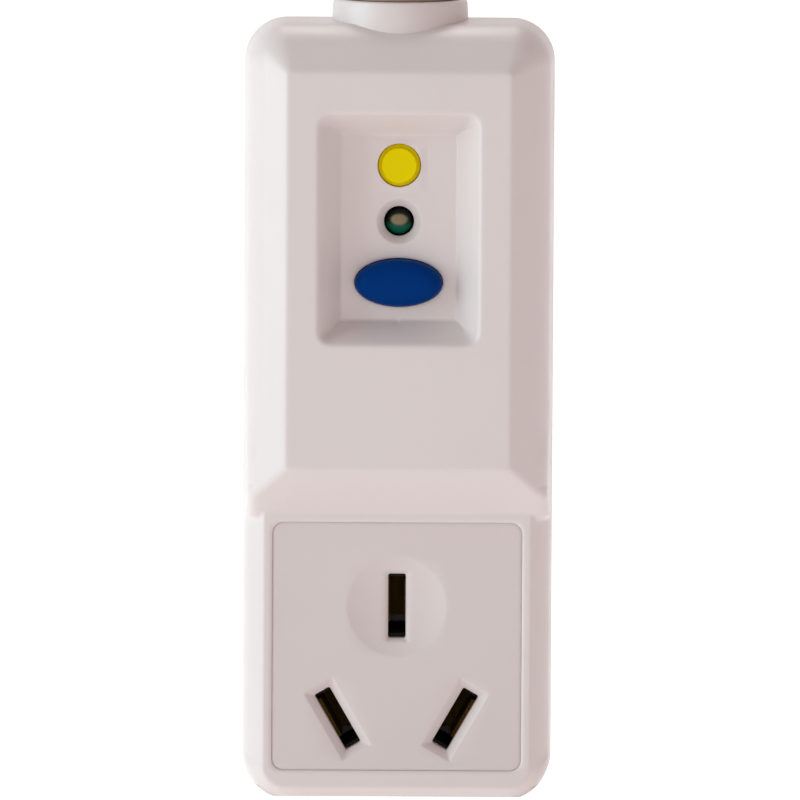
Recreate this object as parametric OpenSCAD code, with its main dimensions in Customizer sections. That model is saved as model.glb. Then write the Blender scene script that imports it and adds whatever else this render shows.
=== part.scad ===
// Portable socket block with a residual-current trip. Two moulded shells hold a cord gland at the
// top, a test and a reset button with a lamp in a sunk panel, and a three-flat-pin outlet below.
// X runs right across the face, Y from the face to the back, Z up to the gland. Millimetres.
// The origin is on the flat lower end, below the middle of the case.

/* [Case] */
// Width of the case at the parting line
case_w = 43.4; // [42.6:0.1:47]
// Height of the case without its gland
case_h = 109; // [108:0.5:116]
// Depth of the front shell, from the raised face to the parting line
front_d = 14; // [13.2:0.1:14.8]
// Depth of the rear shell, from the parting line to the back
rear_d = 18; // [17.2:0.1:21.4]
// Wall of both shells
wall = 2; // [1.7:0.1:2.2]
// Corner radius of the case, seen from the front
corner_r = 6; // [4.5:0.5:7]
// Draft of the front shell's side walls, in degrees
front_draft = 4.8; // [4:0.1:6]
// Draft of the rear shell's side walls, in degrees
rear_draft = 6; // [4:0.5:6.5]
// Rounding of the front edge
edge_r = 0.8; // [0.5:0.1:1.2]
// Rounding of the back edge
back_r = 2; // [1:0.25:2.5]

/* [Raised face] */
// How far the raised face stands in front of the rounded edge beside it
face_rise = 3.8; // [3.4:0.1:4.2]
// Width of the raised face
face_w = 31.4; // [30.6:0.1:32.4]
// Distance from the top of the case to the raised face
face_top = 6.8; // [6:0.1:7.6]
// Height of the raised face's lower edge above the base
face_foot = 46.6; // [45.5:0.1:48]
// Length of the slope from the raised face down to the outlet
step_run = 6.5; // [5.8:0.1:7]

/* [Sunk panel] */
// Width of the panel's mouth
panel_w = 22.6; // [22:0.1:23.6]
// Height of the panel's mouth
panel_h = 32.4; // [31.6:0.1:33.2]
// Distance from the top of the case to the panel's mouth
panel_top = 12.6; // [12.2:0.1:13.2]
// Depth of the panel below the raised face
panel_d = 4.6; // [4.2:0.1:5]
// How far the panel's walls lean in from mouth to floor
panel_lean = 3.2; // [2.8:0.1:3.6]
// Thickness of the panel's floor and walls
panel_wall = 1.8; // [1.5:0.1:2]

/* [Buttons and lamp] */
// Diameter of the test button
test_dia = 5.9; // [5.4:0.1:6.4]
// Distance from the panel's upper mouth edge to the test button
test_drop = 7.5; // [7:0.1:8]
// How far the test button stands out of the panel floor
test_proud = 0.6; // [0.45:0.05:1.2]
// Travel of the test button
test_travel = 1; // [0.6:0.1:1.5]
// Width of the oval reset button
reset_w = 12.2; // [11.6:0.1:12.8]
// Height of the oval reset button
reset_h = 6.6; // [6.2:0.1:7]
// Distance from the panel's upper mouth edge to the reset button
reset_drop = 23.9; // [23.5:0.1:24.3]
// How far the reset button stands out of the panel floor
reset_proud = 3; // [2.8:0.1:3.4]
// Travel of the reset button
reset_travel = 2.5; // [1.5:0.1:2.5]
// Diameter of the lamp's hole in the panel floor
lamp_hole = 4.2; // [3.8:0.1:4.6]
// Distance from the panel's upper mouth edge to the lamp
lamp_drop = 15.4; // [15:0.1:15.8]

/* [Outlet] */
// Side of the square outlet plate
plate_w = 35.1; // [34:0.1:35.4]
// Height of the plate's lower edge above the base
plate_foot = 3.7; // [3.4:0.1:4]
// How far the outlet platform lies behind the raised face
platform_drop = 6.1; // [5.7:0.1:6.4]
// How far the plate lies behind the platform around it
plate_sink = 0.25; // [0.1:0.05:0.5]
// Distance between the centres of the two line slots
line_pitch = 16.45; // [16.2:0.05:16.7]
// Height of the line slots' centres above the plate's lower edge
line_up = 7.3; // [7:0.05:7.6]
// Height of the earth slot's centre above the line slots
earth_up = 15.85; // [15.5:0.05:16.2]
// Length of the line slots
line_slot = 8.9; // [8.4:0.1:9.4]
// Length of the earth slot
earth_slot = 9.1; // [8.6:0.1:9.6]
// Width of all three slots
slot_w = 2.45; // [2.1:0.05:2.7]
// Depth of the pin contacts behind the platform
pin_depth = 20.9; // [20:0.1:21.5]

/* [Cord gland] */
// Diameter of the collar where it meets the case
collar_dia = 19.2; // [18.6:0.1:20]
// Height of the collar above the case
collar_h = 2.6; // [2:0.1:4]
// Diameter of the bush's neck above the collar
neck_dia = 16.7; // [15.6:0.1:17.4]
// Height of the bush's neck above the collar
neck_h = 3; // [2:0.1:5]
// Diameter of the cord hole
cord_dia = 8.5; // [7.5:0.1:9]

/* [Inside] */
// Thickness of the circuit board
board_t = 1.6; // [1.2:0.1:1.8]
// Travel of the trip plunger
trip_travel = 3; // [2:0.25:3]
// Outer diameter of the current sensor ring
sensor_dia = 13; // [12:0.25:13.2]
// Diameter of the case screws
screw_dia = 3; // [2.6:0.1:3.4]

/* [Hidden] */
$fn = 48;

// Colours of the real materials
shell_white = "#d9cecc";
plate_white = "#d3c8c6";
bush_grey = "#a8937f";
inner_white = "#e4e0d6";
test_yellow = "#d6c800";
reset_blue = "#0b3f8f";
lamp_green = "#4f8f5a";
black_nylon = "#26262a";
board_green = "#2f6b45";
brass = "#c6a04a";
steel = "#a9adb2";
copper = "#b5683a";
silver = "#cfd2d4";

// Clearances: sliding pieces, fixed pieces that lie close, the latch, screw threads, and the overcut
// of a through hole
slide_gap = 0.15;
seat_gap = 0.1;
latch_gap = 0.3;
thread_gap = 0.02;
over = 0.5;

// Planes across the depth
y_face = -(front_d + rear_d) / 2;
y_part = y_face + front_d;
y_back = y_part + rear_d;
y_edge = y_face + face_rise;
y_platform = y_face + platform_drop;
y_floor = y_face + panel_d;
y_floor_in = y_floor + panel_wall;
y_rear_in = y_back - wall;
spring_room = 6.6;
y_board = y_floor_in + spring_room;
y_board_back = y_board + board_t;

// Outline of the case and of the raised face
case_hw = case_w / 2;
trim = 0.3;
edge_inset = (y_part - y_edge - edge_r) * tan(front_draft);
rim_inset = edge_inset + edge_r;
rim_hw = case_hw - rim_inset;
rim_r = corner_r - rim_inset;
face_hw = face_w / 2;
face_r = 0.8;
z_face_top = case_h - face_top;
z_platform_top = face_foot - step_run;
step_rise = platform_drop;
side_lean = (rim_hw - face_hw) / face_rise;
top_lean = (case_h - rim_inset - z_face_top) / face_rise;
step_lean = step_run / step_rise;
platform_bevel = 1;
bevel_fall = 1.1;
y_low_edge = y_platform + bevel_fall;
z_hump_foot = z_platform_top - step_run;

// The sunk panel and what shows in it
z_panel_top = case_h - panel_top;
z_panel_foot = z_panel_top - panel_h;
panel_r = 2;
panel_skin = panel_wall * sqrt(1 + pow(panel_lean / panel_d, 2));
z_test = z_panel_top - test_drop;
z_lamp = z_panel_top - lamp_drop;
z_reset = z_panel_top - reset_drop;
button_lip = 1.1;
lip_t = 1.2;
y_lip = y_floor_in + seat_gap;
y_lip_back = y_lip + lip_t;

// The outlet
z_plate_top = plate_foot + plate_w;
plate_r = 1.7;
plate_lip = 0.8;
plate_lip_t = 1.4;
plate_gap = 0.1;
y_plate_lip = y_platform + wall + 0.05;
y_plate_back = y_plate_lip + plate_lip_t;
z_line = plate_foot + line_up;
z_earth = z_line + earth_up;
line_tilt = 30;
pin_spots = [for (side = [-1, 1]) [side * line_pitch / 2, z_line, side * line_tilt, line_slot]];
earth_spot = [0, z_earth, 0, earth_slot];
all_spots = [pin_spots[0], pin_spots[1], earth_spot];
dish_dia = 14;
dish_d = 1;
dish_ball = (pow(dish_dia / 2, 2) + pow(dish_d, 2)) / (2 * dish_d);
slot_bevel = 1.1;
lead_r = 0.3;
lead_tip_r = 0.01;

// Contacts behind the outlet, from front to back
strip_t = 0.8;
y_base_back = y_platform + pin_depth;
y_strip = y_base_back + strip_t;
y_strip_back = y_strip + strip_t;
leaf_t = 0.6;
leaf_l = 6;
leaf_back = 5;
pocket_gap = 0.4;
base_side = 2.05;
base_hw = plate_w / 2 - base_side;
base_end = 1.2;
base_foot = plate_foot + base_end;
base_top = z_plate_top - base_end;
strip_w = 4;
strip_end = 0.5;
rib_t = 2;
rib_in = 4;

// Screws that hold the shells together
screw_r = screw_dia / 2;
head_rim = 1.2;
head_r = screw_r + head_rim;
head_t = 1.8;
head_gap = 0.2;
head_sink = 7;
screw_grip = 5.5;
column_wall = 1;
column_r = head_r + head_gap + column_wall;
boss_wall = 1.7;
boss_r = screw_r + boss_wall;
column_in = 4.2;
screw_inset = column_r + column_in;
boss_room = 0.6;
screw_drop = 8.5;
screw_x = case_hw - screw_inset;
screw_low = z_plate_top + plate_lip + boss_r + boss_room;
screw_high = case_h - screw_drop;
screw_spots = [for (x = [-screw_x, screw_x]) for (z = [screw_low, screw_high]) [x, z]];
y_head = y_back - head_sink;
y_screw_tip = y_part - screw_grip;

// The load strips run up between the lower screw columns
bus_gap = 0.3;
bus_x = screw_x - column_r - bus_gap - strip_w / 2;

// The gland and the cord clamp
cord_r = cord_dia / 2;
bush_wall = 2.85;
bush_r = cord_r + bush_wall;
flange_w = 1;
flange_r = bush_r + flange_w;
flange_t = 2.2;
z_top_in = case_h - wall;
z_collar = case_h + collar_h;
collar_r = collar_dia / 2;
collar_taper = 0.2;
z_flange = z_top_in - flange_r * tan(rear_draft) - seat_gap - flange_t;
y_flange = y_edge + wall + seat_gap;
clamp_h = 4.6;
clamp_drop = 2.4;
z_clamp = z_flange - clamp_drop - clamp_h;
clamp_t = 2.6;
clamp_gap = 0.3;
clamp_screw_r = 1.25;
clamp_screw_l = 6;
post_wall = 0.6;
post_r = clamp_screw_r + post_wall;
clamp_x = (cord_r + screw_x - boss_r) / 2;
clamp_hw = screw_x - boss_r - clamp_gap;
y_clamp_back = y_part - cord_r;

// The circuit board and its posts
board_side = 3.7;
board_hw = case_hw - wall - board_side;
board_gap = 0.4;
board_drop = 1.1;
board_foot = screw_low + column_r + board_gap;
board_top = z_panel_top - board_drop;
board_post_r = 2.4;
post_side = 2.6;
post_foot = 4.2;
post_top = 3.6;
board_post_x = board_hw - post_side;
board_post_low = board_foot + post_foot;
board_post_high = board_top - post_top;
board_spots = [for (x = [-board_post_x, board_post_x]) for (z = [board_post_low, board_post_high]) [x, z]];
board_screw_r = 1.1;
board_screw_l = 5;
small_head_r = 2;
small_head_t = 1.2;

// The reset mechanism
stem_w = 5;
stem_gap = 0.5;
stem_hole = stem_w + 2 * stem_gap;
reset_wire = 0.7;
reset_coil_r = 4.4;
test_stem_r = 1.2;
test_wire = 0.5;
test_coil_r = 2.2;
dome_t = 0.5;
y_carrier = y_board_back + stem_gap;
carrier_t = 2.2;
carrier_up = 4.3;
carrier_down = 5.2;
bridge_t = 1;
y_bridge = y_carrier + carrier_t;
y_bridge_back = y_bridge + bridge_t;
contact_gap = reset_travel + seat_gap;
y_fixed = y_bridge_back + contact_gap;
rivet_r = 1.5;
carrier_side = 2.1;
carrier_hw = bus_x + rivet_r + carrier_side;
line_rivet = 1.7;
load_rivet = -3.1;

// The trip solenoid, on the back of the board below the reset mechanism
frame_t = 0.8;
coil_r = 5.2;
coil_room = 0.2;
sol_y = y_board_back + frame_t + coil_room + coil_r;
plunger_r = 2;
bore_r = plunger_r + seat_gap;
spool_wall = 0.6;
tube_r = bore_r + spool_wall;
bobbin_t = 0.6;
arm_reach = tube_r + 1;
pin_r = 0.6;
notch_d = 1.4;
tongue_end = 2;
trip_wire = 0.6;
trip_coil_r = 2.75;
trip_spring_l = 5.6;
latch_t = 1.2;
latch_r = trip_coil_r + trip_wire / 2 + 0.15;
frame_l = 8.6;
stem_foot = z_reset - stem_w / 2;
z_pin_top = stem_foot + notch_d - latch_gap;
z_latch = stem_foot - 2 * latch_gap - latch_t;
z_frame_top = z_latch - trip_spring_l;
z_frame = z_frame_top - frame_l;

// The current sensor ring and the cord terminals, above the mechanism
sensor_r = sensor_dia / 2;
sensor_h = 6;
sensor_gap = 0.7;
sensor_y = y_board_back + sensor_gap + sensor_r;
sensor_up = 6.3;
z_sensor = z_reset + sensor_up;
core_hole = 3.4;
sensor_hole = 2.6;
case_skin = 0.8;
terminal_wall = 1.2;
block_gap = 0.5;
block_hw = board_post_x - board_post_r - block_gap;
block_h = 6.8;
z_block = board_top - 0.2 - block_h;
block_d = 9.4;
barrel_w = (2 * block_hw - 4 * terminal_wall) / 3;
terminal_pitch = barrel_w + terminal_wall;
barrel_h = block_h - terminal_wall;
z_barrel = z_block + (block_h - barrel_h) / 2;
terminal_x = [-terminal_pitch, 0, terminal_pitch];
barrel_in = 2.7;
y_barrel = y_board_back + barrel_in;
y_entry = y_barrel + barrel_w / 2;
entry_r = 1.2;
terminal_screw_r = 1.4;
wire_r = 0.8;

// Rounded rectangle in the face plane, as points that run counter-clockwise seen from the front
corner_steps = 8;
function round_rect(hw, z0, z1, r) = [
    for (c = [[1, z1 - r, 0], [-1, z1 - r, 90], [-1, z0 + r, 180], [1, z0 + r, 270]])
        for (i = [0 : corner_steps])
            let (a = c[2] + 90 * i / corner_steps)
                [c[0] * (hw - r) + r * cos(a), c[1] + r * sin(a)]
];

// Solid through a row of [y, outline] sections, from front to back
module loft(sections) {
    n = len(sections[0][1]);
    last = len(sections) - 1;
    points = [for (s = sections) for (p = s[1]) [p[0], s[0], p[1]]];
    sides = [for (k = [0 : last - 1]) for (i = [0 : n - 1])
        let (j = (i + 1) % n) [k * n + i, k * n + j, (k + 1) * n + j, (k + 1) * n + i]];
    front = [for (i = [n - 1 : -1 : 0]) i];
    back = [for (i = [0 : n - 1]) last * n + i];
    polyhedron(points, concat([front], sides, [back]));
}

// Flat piece in the face plane, from depth y to y + t
module slab(y, t) {
    translate([0, y + t, 0])
        rotate([90, 0, 0])
            linear_extrude(t)
                children();
}

// Upright block between two corners
module block(low, high) {
    translate(low)
        cube(high - low);
}

// Round bar along the depth, from y0 to y1
module rod(x, z, r, y0, y1) {
    translate([x, y0, z])
        rotate([-90, 0, 0])
            cylinder(r = r, h = y1 - y0);
}

// Oval outline of the reset button, grown by g
oval_steps = 48;
module oval(g) {
    polygon([for (i = [0 : oval_steps - 1])
        let (a = 360 * i / oval_steps)
            [(reset_w / 2 + g) * cos(a), z_reset + (reset_h / 2 + g) * sin(a)]]);
}

// Closed tube through rings of points that turn counter-clockwise about its run
module tube(points, sides) {
    rings = len(points) / sides;
    tail = (rings - 1) * sides;
    walls = [for (k = [0 : rings - 2]) for (s = [0 : sides - 1])
        let (p = k * sides + s, q = k * sides + (s + 1) % sides)
            each [[q, p, p + sides], [q, p + sides, q + sides]]];
    start = [for (s = [1 : sides - 2]) [0, s, s + 1]];
    finish = [for (s = [1 : sides - 2]) [tail, tail + s + 1, tail + s]];
    polyhedron(points, concat(start, walls, finish));
}

// Coil spring along +Z from 0 to l, as one tube of wire w on mean radius r
coil_rings = 8;
coil_sides = 6;
function coil_point(r, w, l, turns, k) =
    let (a = 360 * k / coil_rings, t = k / (turns * coil_rings))
        [r * cos(a), r * sin(a), w / 2 + t * (l - w)];
module coil(r, w, l, turns) {
    last = turns * coil_rings;
    tube([for (k = [0 : last]) for (s = [0 : coil_sides - 1])
        let (a = 360 * k / coil_rings, b = 360 * s / coil_sides, q = w / 2 * cos(b))
            coil_point(r, w, l, turns, k) + [q * cos(a), q * sin(a), -w / 2 * sin(b)]], coil_sides);
}

// Least gap between the coil's turns, measured between points of its centre line
function coil_gap(r, w, l, turns) =
    min([for (i = [0 : turns * coil_rings]) for (j = [i + coil_rings / 2 : turns * coil_rings])
        norm(coil_point(r, w, l, turns, i) - coil_point(r, w, l, turns, j))]) - w;

// Insulated wire through a few points, as one tube with a mitred ring at each point
wire_sides = 8;
wire_lean = [0.4, 1, 0.2];
function unit(v) = v / norm(v);
function wire_aim(p, i) =
    i == 0 ? unit(p[1] - p[0]) :
    i == len(p) - 1 ? unit(p[i] - p[i - 1]) :
    unit(unit(p[i] - p[i - 1]) + unit(p[i + 1] - p[i]));
module wire_path(p) {
    tube([for (i = [0 : len(p) - 1])
        let (t = wire_aim(p, i), u = unit(cross(t, wire_lean)), v = cross(t, u))
            for (s = [0 : wire_sides - 1])
                let (a = 360 * s / wire_sides)
                    p[i] + wire_r * (u * cos(a) + v * sin(a))], wire_sides);
}

// Drafted body of the front shell up to a rounded edge at depth y_rim
function front_section(y, inset) =
    [y, round_rect(case_hw - inset, -trim, case_h - inset, corner_r - inset)];
module front_body(y_rim) {
    r = (rim_inset - (y_part - y_rim) * tan(front_draft)) / (1 - tan(front_draft));
    loft([for (a = [90 : -30 : 0])
            front_section(y_rim + r * (1 - sin(a)), rim_inset - r * cos(a)),
        front_section(y_part, 0)]);
}

// What the step cuts away from the high part: all that lies below its slope, which is moved up by lift
module step_cut(lift) {
    reach = case_hw + over;
    deep = y_part - y_face + over;
    translate([-reach, 0, lift])
        rotate([90, 0, 90])
            linear_extrude(2 * reach)
                polygon([[y_face - over, face_foot + over * step_lean],
                    [y_face - over, -case_h],
                    [y_face + deep, -case_h],
                    [y_face + deep, face_foot - deep * step_lean]]);
}

// Outer form of the front shell: high part with the raised face, low part with the outlet platform,
// and half the collar
module front_form() {
    difference() {
        union() {
            front_body(y_edge);
            loft([
                [y_face, round_rect(face_hw, z_hump_foot, z_face_top, face_r)],
                [y_edge, round_rect(rim_hw, z_hump_foot, case_h - rim_inset, rim_r)],
                [y_edge + wall, round_rect(rim_hw, z_hump_foot, case_h - rim_inset, rim_r)]]);
        }
        step_cut(0);
    }
    front_body(y_low_edge);
    loft([
        [y_platform, round_rect(rim_hw - platform_bevel, platform_bevel, face_foot,
            rim_r - platform_bevel)],
        [y_low_edge, round_rect(rim_hw, 0, face_foot, rim_r)],
        [y_low_edge + wall, round_rect(rim_hw, 0, face_foot, rim_r)]]);
    collar(1);
}

// Half of the gland collar, in front of the parting line (1) or behind it (-1)
module collar(half) {
    reach = collar_r + over;
    intersection() {
        translate([0, y_part, z_face_top])
            cylinder(r1 = collar_r + collar_taper, r2 = collar_r - collar_taper, h = z_collar - z_face_top);
        block([-reach, y_part - (half > 0 ? reach : 0), z_face_top - over],
            [reach, y_part + (half > 0 ? 0 : reach), z_collar + over]);
    }
}

// Hole for the cord bush, through the top wall and the collar
module bush_hole() {
    translate([0, y_part, z_flange - over])
        cylinder(r = bush_r + seat_gap, h = z_collar - z_flange + 2 * over);
}

// Room inside the front shell behind a rounded edge at depth y_rim
module body_room(y_rim) {
    inner_hw = case_hw - wall;
    edge_in = (y_part - y_rim - wall) * tan(front_draft);
    loft([
        [y_rim + wall, round_rect(inner_hw - edge_in, wall, z_top_in - edge_in,
            corner_r - wall - edge_in)],
        [y_part + over, round_rect(inner_hw, wall, z_top_in, corner_r - wall)]]);
}

// Room inside the front shell, before its bosses and panel are left standing
module front_room() {
    side_shift = wall * (sqrt(1 + pow(side_lean, 2)) - side_lean);
    top_shift = wall * (sqrt(1 + pow(top_lean, 2)) - top_lean);
    hump_hw = face_hw - side_shift;
    hump_top = z_face_top - top_shift;
    difference() {
        union() {
            body_room(y_edge);
            loft([
                [y_face + wall, round_rect(hump_hw, z_hump_foot, hump_top, face_r)],
                [y_edge + wall, round_rect(hump_hw + side_lean * face_rise, z_hump_foot,
                    hump_top + top_lean * face_rise, rim_r - wall)]]);
        }
        step_cut(wall * sqrt(1 + pow(step_lean, 2)));
    }
    body_room(y_low_edge);
    slab(y_platform + wall, bevel_fall + over)
        polygon(round_rect(plate_w / 2 + plate_lip + plate_gap, plate_foot - plate_lip - plate_gap,
            z_plate_top + plate_lip + plate_gap, plate_r));
}

// The sunk panel: its mouth at depth y_face and its floor, both grown by g
function panel_section(y, g) =
    let (lean = panel_lean * (y - y_face) / panel_d)
        [y, round_rect(panel_w / 2 - lean + g, z_panel_foot + lean - g, z_panel_top - lean + g, panel_r)];

// Front shell: moulded ABS with four screw bosses inside
module front_cover() {
    color(shell_white)
        difference() {
            front_form();
            difference() {
                front_room();
                loft([panel_section(y_face, panel_skin), panel_section(y_floor_in, panel_skin)]);
                for (s = screw_spots)
                    rod(s[0], s[1], boss_r, y_face, y_part + 2 * over);
            }
            loft([panel_section(y_face - over, 0), panel_section(y_floor, 0)]);
            rod(0, z_test, test_dia / 2 + slide_gap, y_face, y_floor_in + over);
            rod(0, z_lamp, lamp_hole / 2, y_face, y_floor_in + over);
            translate([0, y_floor - over, z_lamp])
                rotate([-90, 0, 0])
                    cylinder(r1 = lamp_hole / 2 + 1 + over, r2 = lamp_hole / 2, h = 1 + over);
            slab(y_floor - over, panel_wall + 2 * over)
                oval(slide_gap);
            slab(y_platform - over, wall + 2 * over)
                polygon(round_rect(plate_w / 2, plate_foot, z_plate_top, plate_r));
            bush_hole();
            for (s = screw_spots)
                rod(s[0], s[1], screw_r, y_screw_tip - over, y_part + over);
            block([-case_hw, y_face, -2 * trim], [case_hw, y_part + over, 0]);
        }
}

// Room inside the rear shell, before its columns, posts and ribs are left standing
function rear_inset(y) = (y - y_part) * tan(rear_draft);
function rear_section(y, inset) =
    [y, round_rect(case_hw - inset, -trim, case_h - inset, corner_r - inset)];
module rear_room() {
    deep = rear_inset(y_rear_in);
    hw = case_hw - wall;
    loft([
        [y_part - over, round_rect(hw, wall, z_top_in, corner_r - wall)],
        [y_part, round_rect(hw, wall, z_top_in, corner_r - wall)],
        [y_rear_in, round_rect(hw - deep, wall, z_top_in - deep, corner_r - wall)]]);
}

// What stands up inside the rear shell: screw columns, board posts, clamp posts, saddle and ribs
module rear_fittings() {
    for (s = screw_spots)
        rod(s[0], s[1], column_r, y_part, y_back);
    for (s = board_spots)
        rod(s[0], s[1], board_post_r, y_board_back, y_back);
    for (x = [-clamp_x, clamp_x])
        rod(x, z_clamp + clamp_h / 2, post_r, y_clamp_back, y_back);
    block([-clamp_x, y_part + cord_r, z_clamp], [clamp_x, y_back, z_clamp + clamp_h]);
    for (z = [base_foot + rib_in, base_top - rib_in - rib_t])
        block([-bus_x - strip_w, y_strip_back, z], [bus_x + strip_w, y_back, z + rib_t]);
}

// Rear shell: moulded ABS with a flat back and four sunk screw holes
module rear_cover() {
    edge_in = rear_inset(y_back - back_r);
    color(shell_white)
        difference() {
            union() {
                loft(concat([rear_section(y_part, 0)],
                    [for (a = [0 : 30 : 90])
                        rear_section(y_back - back_r * (1 - sin(a)), edge_in + back_r * (1 - cos(a)))],
                    [rear_section(y_back + over, edge_in + back_r)]));
                collar(-1);
            }
            difference() {
                rear_room();
                rear_fittings();
            }
            bush_hole();
            for (s = screw_spots) {
                rod(s[0], s[1], screw_r + head_gap, y_part - over, y_back);
                rod(s[0], s[1], head_r + head_gap, y_head, y_back + over);
            }
            for (s = board_spots)
                rod(s[0], s[1], board_screw_r, y_board_back - over, y_board_back + board_screw_l + 1);
            for (x = [-clamp_x, clamp_x])
                rod(x, z_clamp + clamp_h / 2, clamp_screw_r, y_clamp_back - over,
                    y_clamp_back + clamp_screw_l + 1);
            block([-case_hw, y_part - over, -2 * trim], [case_hw, y_back + 2 * over, 0]);
            block([-case_hw, y_back, -over], [case_hw, y_back + 2 * over, case_h]);
        }
}

// Pan-head screw along the depth: head on plane y_seat, tip at y_tip, with a cross recess
module pan_screw(x, z, r, hr, ht, y_seat, y_tip) {
    way = y_seat > y_tip ? 1 : -1;
    arm = hr * 0.6;
    difference() {
        union() {
            rod(x, z, r, min(y_tip, y_seat), max(y_tip, y_seat));
            rod(x, z, hr, min(y_seat, y_seat + way * ht), max(y_seat, y_seat + way * ht));
        }
        for (turn = [0, 90])
            translate([x, y_seat + way * ht, z])
                rotate([0, turn, 0])
                    cube([2 * arm, ht, r * 0.5], center = true);
    }
}

// Four steel screws, driven from the back into the front bosses
module housing_screws() {
    color(steel)
        for (s = screw_spots)
            pan_screw(s[0], s[1], screw_r - thread_gap, head_r, head_t, y_head, y_screw_tip);
}

// Flat-pin opening with a tilted long side, from depth y0 to y1, grown by g
module pin_slot(spot, y0, y1, g) {
    translate([spot[0], y0, spot[1]])
        rotate([0, spot[2], 0])
            translate([-slot_w / 2 - g, 0, -spot[3] / 2 - g])
                cube([slot_w + 2 * g, y1 - y0, spot[3] + 2 * g]);
}

// Lead-in bevel around a pin slot, from the plate's face down to the slot
module pin_lead(spot, y, g) {
    translate([spot[0], y, spot[1]])
        rotate([0, spot[2], 0])
            loft([
                [-over, round_rect(slot_w / 2 + g + over, -spot[3] / 2 - g - over,
                    spot[3] / 2 + g + over, lead_r)],
                [g, round_rect(slot_w / 2, -spot[3] / 2, spot[3] / 2, lead_tip_r)]]);
}

// Outlet plate: moulded insert with three slots, seated behind the platform by its lip
module socket_plate() {
    y0 = y_platform + plate_sink;
    color(plate_white)
        difference() {
            union() {
                slab(y0, y_plate_lip - y0 + seat_gap)
                    polygon(round_rect(plate_w / 2 - plate_gap, plate_foot + plate_gap,
                        z_plate_top - plate_gap, plate_r - plate_gap));
                slab(y_plate_lip, plate_lip_t)
                    polygon(round_rect(plate_w / 2 + plate_lip, plate_foot - plate_lip,
                        z_plate_top + plate_lip, plate_r));
            }
            translate([0, y0 + dish_d - dish_ball, z_earth])
                sphere(r = dish_ball, $fn = 240);
            for (s = pin_spots) {
                pin_slot(s, y0 - over, y_plate_back + over, 0);
                pin_lead(s, y0, slot_bevel);
            }
            pin_slot(earth_spot, y0 - over, y_plate_back + over, 0);
            pin_lead(earth_spot, y0 + dish_d, slot_bevel / 2);
        }
}

// Cord bush: soft moulding, its flange held behind the top wall and its neck above the collar
module gland_bush() {
    neck_r = neck_dia / 2;
    color(bush_grey)
        translate([0, y_part, 0])
            difference() {
                union() {
                    intersection() {
                        translate([0, 0, z_flange])
                            cylinder(r = flange_r, h = flange_t);
                        block([-flange_r, y_flange - y_part, z_flange],
                            [flange_r, flange_r, z_flange + flange_t]);
                    }
                    translate([0, 0, z_flange])
                        cylinder(r = bush_r, h = z_collar + neck_h - z_flange);
                    translate([0, 0, z_collar])
                        cylinder(r = neck_r, h = neck_h);
                }
                translate([0, 0, z_flange - over])
                    cylinder(r = cord_r, h = z_collar + neck_h - z_flange + 2 * over);
            }
}

// Cord clamp: nylon bar across the cord, screwed to the two clamp posts
module cord_clamp() {
    color(inner_white)
        difference() {
            block([-clamp_hw, y_clamp_back - clamp_t, z_clamp],
                [clamp_hw, y_clamp_back, z_clamp + clamp_h]);
            for (x = [-clamp_x, clamp_x])
                rod(x, z_clamp + clamp_h / 2, clamp_screw_r + seat_gap,
                    y_clamp_back - clamp_t - over, y_clamp_back + over);
        }
}

module clamp_screws() {
    color(steel)
        for (x = [-clamp_x, clamp_x])
            pan_screw(x, z_clamp + clamp_h / 2, clamp_screw_r - thread_gap, small_head_r, small_head_t,
                y_clamp_back - clamp_t, y_clamp_back + clamp_screw_l);
}

// Contact base: insulating block behind the plate with a through pocket for each contact
module contact_base() {
    color(black_nylon)
        difference() {
            block([-base_hw, y_plate_back, base_foot], [base_hw, y_base_back, base_top]);
            for (s = all_spots)
                pin_slot([s[0], s[1], s[2], leaf_l], y_plate_back - over, y_base_back + over,
                    leaf_t + pocket_gap);
        }
}

// Spring contact: two leaves that grip a flat pin, bent up from a plate on the base's back
module pin_contact(spot, plate_l) {
    y0 = y_plate_back + leaf_back;
    leaf_gap = slot_w - 0.35;
    translate([spot[0], 0, spot[1]])
        rotate([0, spot[2], 0])
            for (x = [-leaf_gap / 2 - leaf_t, leaf_gap / 2])
                block([x, y0, -leaf_l / 2], [x + leaf_t, y_base_back + strip_t / 2, leaf_l / 2]);
    block([spot[0] - strip_w / 2, y_base_back, spot[1] - plate_l],
        [spot[0] + strip_w / 2, y_base_back + strip_t, spot[1] + plate_l]);
}

module live_contact() {
    color(brass)
        pin_contact(pin_spots[0], leaf_l / 2);
}

module neutral_contact() {
    color(brass)
        pin_contact(pin_spots[1], leaf_l / 2);
}

// The earth contact's plate runs up past the base, where the earth wire is welded to it
module earth_contact() {
    color(brass) {
        pin_contact(earth_spot, leaf_l / 2);
        block([-strip_w / 2, y_base_back, z_earth], [strip_w / 2, y_base_back + strip_t, base_top + 2.6]);
    }
}

// Load strips: from the switched contacts down to the pin contacts
module busbar(x) {
    block([x - strip_w / 2, y_strip, z_line - leaf_l / 2],
        [x + strip_w / 2, y_strip_back, z_reset + load_rivet + rivet_r + strip_end]);
}

module live_busbar() {
    color(copper)
        busbar(-bus_x);
}

module neutral_busbar() {
    color(copper)
        busbar(bus_x);
}

// Supply tabs above the load strips, where the wires from the sensor ring end
tab_gap = 0.4;
z_tab_top = z_sensor - tab_gap;
module line_tabs() {
    color(copper)
        for (x = [-bus_x, bus_x])
            block([x - strip_w / 2, y_strip, z_reset + line_rivet - rivet_r - strip_end],
                [x + strip_w / 2, y_strip_back, z_tab_top]);
}

// Four silver-faced rivets, one on each tab and load strip
module fixed_contacts() {
    color(silver)
        for (x = [-bus_x, bus_x])
            for (z = [line_rivet, load_rivet])
                rod(x, z_reset + z, rivet_r, y_fixed, y_strip);
}

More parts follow.
